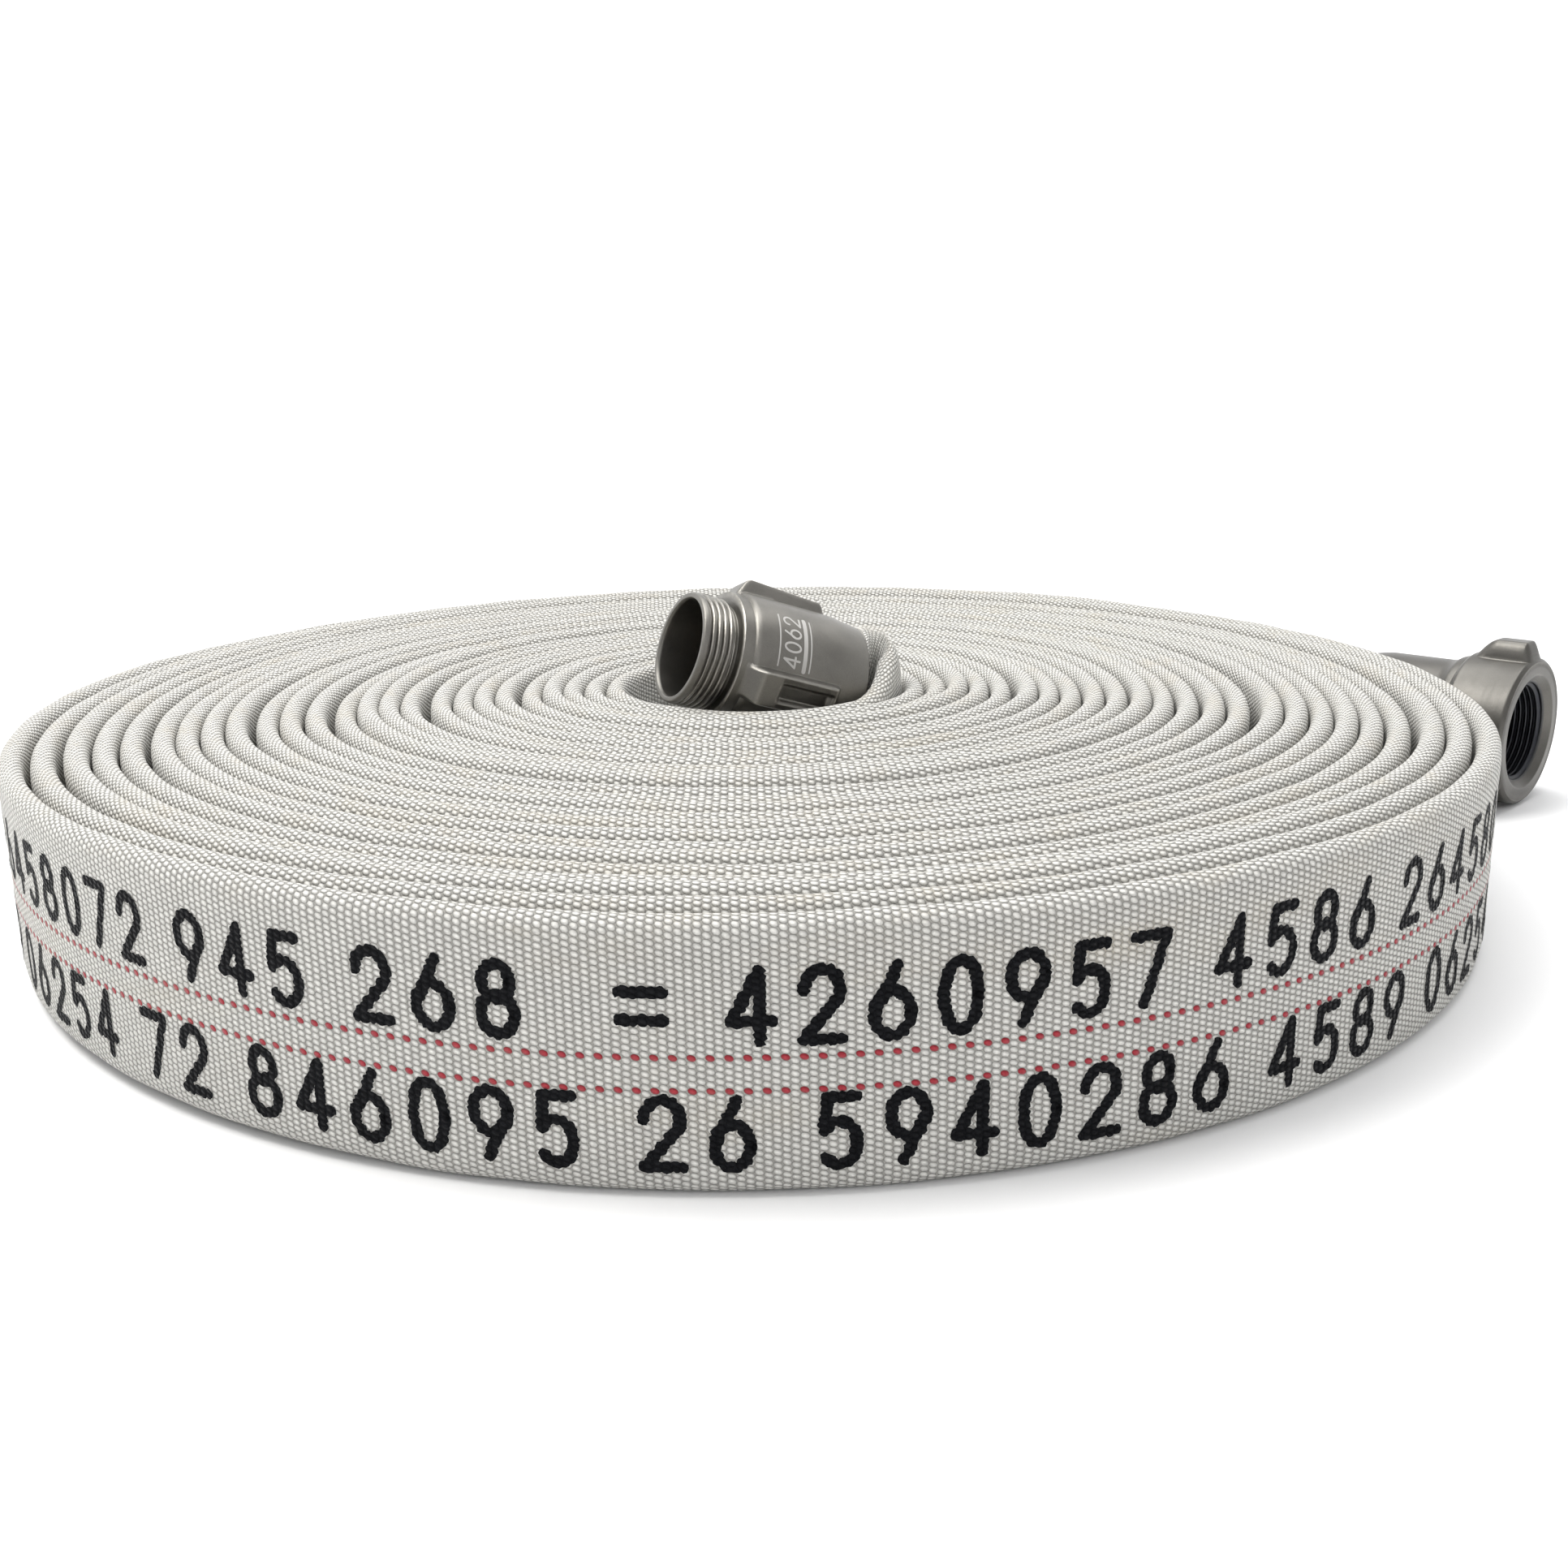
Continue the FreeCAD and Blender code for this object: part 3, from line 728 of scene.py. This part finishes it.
def lathe_piece(name, loop, place, lugs=(), lug_angles=(), threads=(), fine=(), body_radius=30.0,
                bore_radius=0.0, bore_start=0.0, fine_above=22.9):
    """A turned piece with lugs raised and helical threads cut on it, placed by (origin, forward, up)."""
    def longest(a, r):
        return 0.36 if r > fine_above and any(lo <= a <= hi for lo, hi in fine) else 1.2
    points = resampled(rounded(loop), longest)
    angles = set(np.round(np.arange(0, 360, 3.0), 3))
    for middle in lug_angles:
        for lug in lugs:
            half = math.degrees(lug["width"] / 2 / body_radius)
            for flank in (-half, half):
                angles |= set(np.round((middle + flank + np.arange(-6.5, 6.6, 0.7)) % 360, 3))
            angles |= set(np.round((middle + np.arange(-half, half, 1.4)) % 360, 3))
    psi = np.radians(np.array(sorted(angles)))
    a = np.array([p.x for p in points])[:, None] + 0 * psi[None, :]
    r = np.array([p.y for p in points])[:, None] + 0 * psi[None, :]
    for thread in threads:
        inside = smooth((a - thread["start"]) / 1.6) * smooth((thread["end"] - a) / 1.6)
        on_wall = np.abs(r - thread["root"]) < 0.3
        phase = (a - thread["start"]) / (THREAD_PITCH / MM) - psi[None, :] / (2 * math.pi)
        ridge = 0.5 + 0.5 * np.cos(2 * math.pi * phase)
        ridge = smooth(ridge * 1.5 - 0.18)
        r = r + thread["depth"] * inside * ridge * on_wall
    for middle in lug_angles:
        for lug in lugs:
            away = (psi[None, :] - math.radians(middle) + math.pi) % (2 * math.pi) - math.pi
            height = lug_field(a, away, lug)
            outer = r > lug["base"] - 3.0
            raised = np.maximum(r, height)
            soft = 0.5 * (r + height + np.sqrt((r - height) ** 2 + LUG_FILLET ** 2)) - LUG_FILLET / 2
            r = np.where(outer & (np.abs(away) < 1.1), np.maximum(raised, soft), r)
    origin, forward, up = place
    side = up.cross(forward)
    x = -a
    y = -r * np.sin(psi)[None, :]
    z = r * np.cos(psi)[None, :]
    world = (np.array(origin) + MM * (x[..., None] * np.array(forward)
                                      + y[..., None] * np.array(side) + z[..., None] * np.array(up)))
    rows, columns = a.shape
    numbers = np.arange(rows * columns).reshape(rows, columns)
    ahead, beside = np.roll(numbers, -1, 0), np.roll(numbers, -1, 1)
    both = np.roll(ahead, -1, 1)
    faces = np.stack([numbers, beside, both, ahead], -1).reshape(-1, 4).tolist()
    piece = mesh_piece(name, world.reshape(-1, 3), faces)
    outward_normals(piece)
    store(piece, "axial", (a * MM).ravel())
    store(piece, "wear", edge_wear(piece))
    # Painted shade: points inside bore_radius, past bore_start, get the bore attribute that darkens them.
    bore_shade_mask = smooth((bore_radius - r) / 0.5) * smooth((a - bore_start) / 3.0)
    store(piece, "bore", (BORE_PAINTED_SHADE * bore_shade_mask).ravel())
    return piece


def outward_normals(piece):
    """Turn the faces outwards if the closed mesh has a negative volume."""
    mesh = piece.data
    mesh.calc_loop_triangles()
    co = np.zeros(len(mesh.vertices) * 3)
    mesh.vertices.foreach_get("co", co)
    co = co.reshape(-1, 3)
    tri = np.zeros(len(mesh.loop_triangles) * 3, dtype=np.int32)
    mesh.loop_triangles.foreach_get("vertices", tri)
    p = co[tri.reshape(-1, 3)]
    if np.einsum("ij,ij->i", p[:, 0], np.cross(p[:, 1], p[:, 2])).sum() < 0:
        mesh.flip_normals()
        mesh.update()


def store(piece, name, values):
    attribute = piece.data.attributes.new(name, "FLOAT", "POINT")
    attribute.data.foreach_set("value", np.asarray(values, np.float32))


def edge_wear(piece):
    """0 on flat metal to 1 on outward edges, from how far each point stands proud of its neighbours."""
    mesh = piece.data
    count = len(mesh.vertices)
    co = np.zeros(count * 3)
    normal = np.zeros(count * 3)
    mesh.vertices.foreach_get("co", co)
    mesh.vertices.foreach_get("normal", normal)
    co, normal = co.reshape(-1, 3), normal.reshape(-1, 3)
    ends = np.zeros(len(mesh.edges) * 2, dtype=np.int32)
    mesh.edges.foreach_get("vertices", ends)
    ends = ends.reshape(-1, 2)
    step = co[ends[:, 1]] - co[ends[:, 0]]
    length = np.maximum(np.linalg.norm(step, axis=1), 1e-6)
    proud = np.zeros(count)
    weight = np.zeros(count)
    for here, sign in ((0, -1.0), (1, 1.0)):
        slope = sign * np.einsum("ij,ij->i", step, normal[ends[:, here]]) / length
        np.add.at(proud, ends[:, here], slope)
        np.add.at(weight, ends[:, here], 1.0)
    proud /= np.maximum(weight, 1)
    return smooth((proud - 0.05) / 0.22)


def male_place():
    return MALE_MOUTH + AXIS, MALE_DIRECTION, male_up()


def female_place():
    return FEMALE_FACE + AXIS, heading(FEMALE_HEADING), Vector((0, 0, 1))


def male_coupling():
    root, end, bore = 23.437, 81.0, 36.0
    loop = [
        (0.0, 24.7, 1.3), (1.3, 25.15, 1.2), (2.9, 25.15, 1.0), (3.7, root, 0.5), (15.6, root, 0.3),
        (16.2, 22.94, 0.3), (17.5, 22.94, 0.4), (17.5, 27.0, 1.6), (18.9, 28.1, 1.4), (20.8, 28.1, 1.4),
        (21.9, 26.9, 0.6), (22.5, 26.9, 0.5), (22.6, 29.8, 1.5), (24.4, 31.0, 1.5), (67.0, 31.0, 4.0),
        (end, 29.4, 1.2), (end, 28.2, 0.3), (end - 1.5, 27.4, 0.3), (bore, 27.4, 0.2), (bore, 22.0, 0.3),
        (1.2, 22.0, 0.5), (0.0, 22.6, 0.3),
    ]
    lug = {"start": 20.0, "end": 68.0, "front": 7.5, "rear": 4.0, "top": 37.3, "fall": 2.6, "base": 29.4,
           "width": 18.0, "flank": 4.2, "pocket": 3.4, "pocket_start": 36.0, "pocket_end": 64.0,
           "pocket_width": 8.0}
    thread = {"start": 2.4, "end": 16.2, "root": root, "depth": 1.8}
    return lathe_piece("male_coupling_body", loop, male_place(), (lug,), MALE_LUG_ANGLES, (thread,),
                       fine=((0.0, 24.5),))


def female_bowl():
    front, collar, end = 23.0, 32.3, 90.0
    insert, gasket = 41.0, 4.0
    bore = end - insert - gasket
    loop = [
        (front, 27.5, 0.3), (front + 0.5, 28.0, 0.2), (collar, 28.0, 0.3), (collar, 34.4, 0.6),
        (collar + 0.7, 35.0, 0.6), (collar + 4.0, 35.0, 1.2), (collar + 8.5, 32.0, 3.0),
        (end - 12, 32.0, 4.0), (end, 29.6, 1.2), (end, 28.2, 0.3), (end - 1.5, 27.4, 0.3),
        (bore, 27.4, 0.2), (bore, 22.0, 0.3), (front, 22.0, 0.4),
    ]
    return lathe_piece("female_bowl_body", loop, female_place(), bore_radius=22.6)


def female_swivel():
    minor, major = 23.597, 25.43
    loop = [
        (0.0, 36.4, 0.6), (1.6, 38.0, 0.8), (30.2, 38.0, 0.8), (32.0, 36.7, 0.5),
        (32.0, 28.05, 0.2), (22.9, 28.05, 0.1), (22.9, 26.8, 0.1), (20.0, 26.8, 0.1), (20.0, major, 0.2),
        (3.6, major, 0.3), (3.0, 26.4, 0.3), (0.0, 29.5, 0.5),
    ]
    lug = {"start": 0.4, "end": 30.5, "front": 4.6, "rear": 12.0, "top": 46.4, "base": 36.2,
           "width": 16.5, "flank": 9.0, "round": 0.6}
    thread = {"start": 3.6, "end": 19.2, "root": major, "depth": minor - major}
    return lathe_piece("female_swivel_body", loop, female_place(), (lug,), SWIVEL_LUG_ANGLES, (thread,),
                       fine=((0.0, 19.6),), body_radius=40.0, bore_radius=26.6, bore_start=1.6)


# ---- marks: plain numerals and bars, printed on the jacket and etched on the male bowl ----

# Strokes in a box 1 wide and 1 high, from the top left; "arc" is (centre x, y, radius x, y, from, to).
GLYPHS = {
    "0": [("arc", .5, .5, .42, .5, 0, 360)],
    "2": [("arc", .5, .3, .42, .3, 180, 385), (.87, .42, .06, 1), (.06, 1, .95, 1)],
    "4": [(.68, 1, .68, 0), (.68, 0, .04, .72), (.04, .72, .97, .72)],
    "5": [(.88, 0, .2, 0), (.2, 0, .12, .46), ("arc", .48, .68, .42, .32, 215, 500)],
    "6": [("arc", .5, .68, .42, .32, 0, 360), (.12, .62, .62, 0)],
    "7": [(.04, 0, .94, 0), (.94, 0, .36, 1)],
    "8": [("arc", .5, .25, .34, .25, 0, 360), ("arc", .5, .72, .42, .28, 0, 360)],
    "9": [("arc", .5, .32, .42, .32, 0, 360), (.88, .38, .4, 1)],
    "=": [(.0, .3, 1, .3), (.0, .7, 1, .7)],
}

GLYPH_WIDTH = 0.0118
GLYPH_HEIGHT = 0.0207
GLYPH_GAP = 0.0073
SPACE = 0.0105
PRINTED_LENGTH = 2.06
UPPER_ROW = AROUND * 0.25 + 0.0173
LOWER_ROW = AROUND * 0.25 + 0.0556
INK_STROKE = 0.0036
INK_STEP = 0.0007
INK_RAISED = 0.00013
INK_RAISED_STEP = 0.00002


def stroke_line(stroke, width, height):
    """The middle line of one stroke of a glyph of that size, as evenly spaced points."""
    if stroke[0] == "arc":
        _, cx, cy, rx, ry, start, stop = stroke
        a = np.radians(np.linspace(start, stop, 90))
        x, y = (cx + rx * np.cos(a)) * width, (cy + ry * np.sin(a)) * height
    else:
        x = np.array([stroke[0], stroke[2]]) * width
        y = np.array([stroke[1], stroke[3]]) * height
    length = np.concatenate([[0.0], np.cumsum(np.hypot(np.diff(x), np.diff(y)))])
    at = np.linspace(0, length[-1], max(2, math.ceil(length[-1] / INK_STEP) + 1))
    return np.interp(at, length, x), np.interp(at, length, y)


def crown_height(u, v):
    """How high the weave stands at a place on it, 0 in the gaps to 1 on the crowns."""
    column = np.floor(u / COLUMN_PITCH)
    fx = u / COLUMN_PITCH - column - 0.5
    down = v / CROWN_PITCH + 0.5 * (column % 2)
    fy = down - np.floor(down) - 0.5
    return np.clip(1 - np.abs(2 * fx) ** 2.6 - np.abs(2 * fy) ** 2.3, 0, 1) ** 0.55


def ribbon(u, v, rng, half=INK_STROKE / 2, ragged=1.0):
    """One stroke: left, middle and right edge points along it, its ends rounded, its edges ragged."""
    du, dv = np.gradient(u), np.gradient(v)
    size = np.maximum(np.hypot(du, dv), 1e-9)
    du, dv = du / size, dv / size
    first = [(-0.92, 0.35), (-0.6, 0.78)]
    last = [(0.6, 0.78), (0.92, 0.35)]
    along = np.concatenate([[f[0] * half for f in first], np.zeros(len(u)), [f[0] * half for f in last]])
    wide = np.concatenate([[f[1] for f in first], np.ones(len(u)), [f[1] for f in last]])
    pick = np.concatenate([[0, 0], np.arange(len(u)), [len(u) - 1] * 2]).astype(int)
    mu, mv = u[pick] + du[pick] * along, v[pick] + dv[pick] * along
    edges = []
    for side in (-1, 0, 1):
        eu, ev = mu - dv[pick] * side * half * wide, mv + du[pick] * side * half * wide
        push = side * (0.00075 * (crown_height(eu, ev) - 0.6) + rng.uniform(-0.00016, 0.00016, len(eu)))
        push = push * ragged
        edges.append((eu - dv[pick] * push, ev + du[pick] * push))
    return edges


class Surface:
    """The jacket's own facets over the coil's last turns, for pieces that lie on them."""

    def __init__(self, u_from, u_to):
        along = LINE["along"]
        self.rows = np.arange(np.searchsorted(along, u_from) - 2, np.searchsorted(along, u_to) + 2)
        self.along = along[self.rows]
        self.around = COIL_AROUND * AROUND
        self.points = ring_rows(LINE, self.rows, COIL_AROUND, 0.0)

    def at(self, u, v, raised):
        row = np.clip(np.searchsorted(self.along, u, side="right") - 1, 0, len(self.along) - 2)
        col = np.clip(np.searchsorted(self.around, v, side="right") - 1, 0, len(self.around) - 2)
        su = ((u - self.along[row]) / (self.along[row + 1] - self.along[row]))[:, None]
        sv = ((v - self.around[col]) / (self.around[col + 1] - self.around[col]))[:, None]
        p00, p01 = self.points[row, col], self.points[row, col + 1]
        p10, p11 = self.points[row + 1, col], self.points[row + 1, col + 1]
        normal = np.cross(p01 - p00, p10 - p00)
        normal /= np.linalg.norm(normal, axis=1)[:, None]
        facing = np.sign(np.einsum("ij,ij->i", normal, LINE["outwards"][self.rows[row]]))
        place = (p00 * (1 - sv) + p01 * sv) * (1 - su) + (p10 * (1 - sv) + p11 * sv) * su
        return place + normal * (facing * raised)[:, None]


def printed_row(text, start, end, top, rng):
    """The strokes of a repeated line of glyphs, read with the coil's outside facing the reader."""
    strokes = []
    left = end
    i = 0
    while left > start + 0.03:
        glyph = text[i % len(text)]
        i += 1
        if glyph == " ":
            left -= SPACE
            continue
        for stroke in GLYPHS[glyph]:
            x, y = stroke_line(stroke, GLYPH_WIDTH, GLYPH_HEIGHT)
            strokes.append(ribbon(left - x, top + y, rng))
        left -= GLYPH_WIDTH + GLYPH_GAP
    return strokes


def printing():
    """The marks along the coil's last turn, as thin inked strokes just off the jacket."""
    coil_end = LINE["along"][np.flatnonzero(LINE["part"] == COIL)[-1]]
    start = coil_end - PRINTED_LENGTH
    rng = np.random.default_rng(21)
    strokes = printed_row("4260957 4586 26458072 945 268  = ", start, coil_end - 0.01, UPPER_ROW, rng)
    strokes += printed_row("26 5940286 4589 06254 72 846095 ", start, coil_end - 0.006, LOWER_ROW, rng)
    surface = Surface(start, coil_end)
    verts, faces, u_all, v_all = [], [], [], []
    for number, edges in enumerate(strokes):
        raised = INK_RAISED + INK_RAISED_STEP * (number % 5)
        count = len(edges[0][0])
        base = sum(len(v) for v in verts)
        for u, v in edges:
            verts.append(surface.at(u, v, np.full(len(u), raised)))
            u_all.append(u)
            v_all.append(v)
        for side in (0, 1):
            for k in range(count - 1):
                a = base + side * count + k
                faces.append((a, a + 1, a + count + 1, a + count))
    return mesh_piece("printed_marks", np.concatenate(verts), faces,
                      np.concatenate(u_all), np.concatenate(v_all))


BOWL_RADIUS = 0.031
ETCH_MIDDLE = math.radians(-57.0)
ETCH_START = 0.0365
ETCH_LEFT = -0.0126
ETCH_GLYPH = (0.0050, 0.0078)
ETCH_ADVANCE = 0.0067
ETCH_HALF_STROKE = 0.00050
ETCH_RAISED = 0.00008
ETCH_RAISED_STEP = 0.000004

# Bars beside the numerals: (distance from the numerals' start, half width)
ETCH_BARS = ((-0.0026, 0.00035), (0.0104, 0.0010), (0.0132, 0.00035))
ETCH_BAR_FROM, ETCH_BAR_TO = -0.0130, 0.0126


def etched_marks():
    """A pale etched mark on the male bowl, between two lugs: plain numerals between bars."""
    origin, forward, up = male_place()
    side = up.cross(forward)
    rng = np.random.default_rng(22)
    strokes = []
    left = ETCH_LEFT
    for glyph in "4062":
        for stroke in GLYPHS[glyph]:
            x, y = stroke_line(stroke, *ETCH_GLYPH)
            strokes.append((y + ETCH_START, x + left, ETCH_HALF_STROKE))
        left += ETCH_ADVANCE
    for offset, half in ETCH_BARS:
        x = np.linspace(ETCH_BAR_FROM, ETCH_BAR_TO, 40)
        strokes.append((np.full(40, ETCH_START + offset), x, half))
    verts, faces = [], []
    for number, (along, turned, half) in enumerate(strokes):
        edges = ribbon(along, turned, rng, half, 0.0)
        raised = ETCH_RAISED + ETCH_RAISED_STEP * (number % 5)
        count, base = len(edges[0][0]), len(verts)
        for a, b in edges:
            psi = ETCH_MIDDLE + b / BOWL_RADIUS
            for d, q in zip(a, psi):
                out = side * -math.sin(q) + up * math.cos(q)
                verts.append(origin - forward * float(d) + out * (BOWL_RADIUS + raised))
        for lane in (0, 1):
            for k in range(count - 1):
                v = base + lane * count + k
                faces.append((v, v + 1, v + count + 1, v + count))
    return mesh_piece("etched_marks", verts, faces)


def etched_material():
    n = Nodes("etched_metal")
    fine = n.noise(n.place(), 4200.0, 3.0, 0.6)
    base = n.mix(fine, (0.40, 0.39, 0.375), (0.52, 0.51, 0.49))
    n.bump(fine, 0.00003)
    return n.set(Base_Color=base, Roughness=n.ramp(fine, 0.3, 0.7, 0.55, 0.7), Metallic=0.35)


# ---- build ----

POCKET_DEPTH = 0.085
FLOOR_LEVEL = -0.0004
WORLD_LIGHT = 0.76
CAMERA_PLACE = Vector((0, -0.69715, 0.22426))
CAMERA_PITCH, CAMERA_YAW, CAMERA_ROLL = 15.376, 0.905, 0.876
CAMERA_LENS = 34.70


def hose():
    inner_inset = OUTER_WALL + LAYER_GAP
    liner_inset = inner_inset + INNER_WALL + LAYER_GAP
    # The second colour of each weave is painted shade for the gaps between its crowns.
    white = jacket_material("outer_jacket_weave", (0.755, 0.742, 0.70), (0.33, 0.32, 0.295), True)
    undyed = jacket_material("inner_jacket_weave", (0.62, 0.60, 0.54), (0.22, 0.21, 0.18), False)
    layers = (
        ("outer_jacket", "_woven", 0.0, OUTER_WALL, COIL_AROUND, 1, white),
        ("inner_jacket", "_woven", inner_inset, INNER_WALL, PLAIN_AROUND, 2, undyed),
        ("liner", "_tube", liner_inset, LINER_WALL, PLAIN_AROUND, 2, liner_material()),
    )
    for name, ending, inset, wall, around, every, material in layers:
        piece = layer_mesh(name + ending, inset, wall, around, every, POCKET_DEPTH)
        outward_normals(piece)
        wear_material(piece, material)
        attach(piece, "hose")
        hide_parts(name + "_roll", name + "_inner_end", name + "_outer_end")
    marks = printing()
    wear_material(marks, ink_material())
    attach(marks, "hose")


def couplings():
    grey = metal_material("hard_anodised", (0.160, 0.154, 0.140), (0.210, 0.201, 0.183),
                          (0.46, 0.44, 0.40), 0.35)
    # Painted shade: the female's bowl and swivel take a darker copy of the same anodised metal, so that
    # they look less lit.
    shaded_grey = metal_material("anodised_painted_shade", (0.100, 0.096, 0.088), (0.134, 0.129, 0.118),
                               (0.33, 0.315, 0.285), 0.35)
    for build, body, node, metal in (
        (male_coupling, "hose", "male_coupling", grey),
        (female_bowl, "hose", "female_bowl", shaded_grey),
        (female_swivel, "swivel", "female_swivel", shaded_grey),
    ):
        piece = build()
        wear_material(piece, metal)
        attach(piece, body)
        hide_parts(node)
    marks = etched_marks()
    wear_material(marks, etched_material())
    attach(marks, "hose")


def carried_nodes():
    """The CAD pieces that stay as they are, with materials of their own."""
    brass = plain_metal("drawn_brass", (0.52, 0.36, 0.15), (0.66, 0.49, 0.24), 0.24, 120.0)
    steel = plain_metal("polished_steel", (0.50, 0.50, 0.51), (0.62, 0.62, 0.63), 0.14, 300.0)
    plug = plain_metal("plug_steel", (0.30, 0.30, 0.31), (0.42, 0.42, 0.43), 0.3, 300.0)
    rubber = rubber_material("gasket_rubber")
    for node, piece in frame["nodes"].items():
        if "expansion_ring" in node:
            wear_material(piece, brass)
        elif "gasket" in node:
            wear_material(piece, rubber)
        elif "balls" in node:
            wear_material(piece, steel)
        elif "plug" in node:
            wear_material(piece, plug)


def backdrop():
    """A pale floor that curves up into a wall all round, so that no horizon shows."""
    profile = [(r, FLOOR_LEVEL) for r in (0.6, 1.5, 3.0, 5.0)]
    profile += [(5.0 + 4 * math.sin(a), 4 - 4 * math.cos(a)) for a in np.radians(np.arange(7.5, 91, 7.5))]
    profile += [(9.0, 7.0)]
    count = 96
    verts, faces = [], []
    for r, z in profile:
        for k in range(count):
            a = 2 * math.pi * k / count
            verts.append((r * math.cos(a), r * math.sin(a), z))
    faces.append(tuple(range(count)))
    for j in range(len(profile) - 1):
        for k in range(count):
            a, b = j * count + k, j * count + (k + 1) % count
            faces.append((a, a + count, b + count, b))
    return mesh_piece("studio_floor", verts, faces)


def studio():
    floor = backdrop()
    wear_material(floor, floor_material())
    world = bpy.data.worlds.new("studio_world")
    world.use_nodes = True
    world.node_tree.nodes["Background"].inputs[0].default_value = (0.985, 0.99, 1.0, 1)
    world.node_tree.nodes["Background"].inputs[1].default_value = WORLD_LIGHT
    bpy.context.scene.world = world
    # name, place, size, watts, colour
    lights = (
        ("key", (-0.9, -0.1, 1.7), 0.9, 27.0, (1.0, 0.99, 0.97)),
        ("top", (0.2, 0.5, 2.0), 1.6, 28.0, (1.0, 1.0, 1.0)),
        ("front", (0.2, -2.0, 1.3), 0.9, 2.2, (0.98, 0.99, 1.0)),
    )
    for name, spot, size, power, colour in lights:
        data = bpy.data.lights.new(name, "AREA")
        data.energy = power
        data.size = size
        data.color = colour
        light = bpy.data.objects.new(name, data)
        light.location = spot
        aim = Vector((0, 0, 0.05)) - Vector(spot)
        light.rotation_euler = aim.to_track_quat("-Z", "Y").to_euler()
        bpy.context.scene.collection.objects.link(light)


def camera():
    """The camera stands in front of the coil, looking down a little."""
    pitch, yaw, roll = (math.radians(a) for a in (CAMERA_PITCH, CAMERA_YAW, CAMERA_ROLL))
    forward = Vector((math.sin(yaw) * math.cos(pitch), math.cos(yaw) * math.cos(pitch), -math.sin(pitch)))
    right = Vector((math.cos(yaw), -math.sin(yaw), 0))
    up = right.cross(forward)
    x = right * math.cos(roll) - up * math.sin(roll)
    y = right * math.sin(roll) + up * math.cos(roll)
    data = bpy.data.cameras.new("camera")
    data.lens = CAMERA_LENS
    data.sensor_width = 36.0
    seen = bpy.data.objects.new("camera", data)
    place = Matrix((x, y, -forward)).transposed().to_4x4()
    place.translation = CAMERA_PLACE + AXIS
    seen.matrix_world = place
    bpy.context.scene.collection.objects.link(seen)
    bpy.context.scene.camera = seen


hose()
couplings()
carried_nodes()
studio()
camera()
bpy.context.scene.view_settings.view_transform = "Standard"
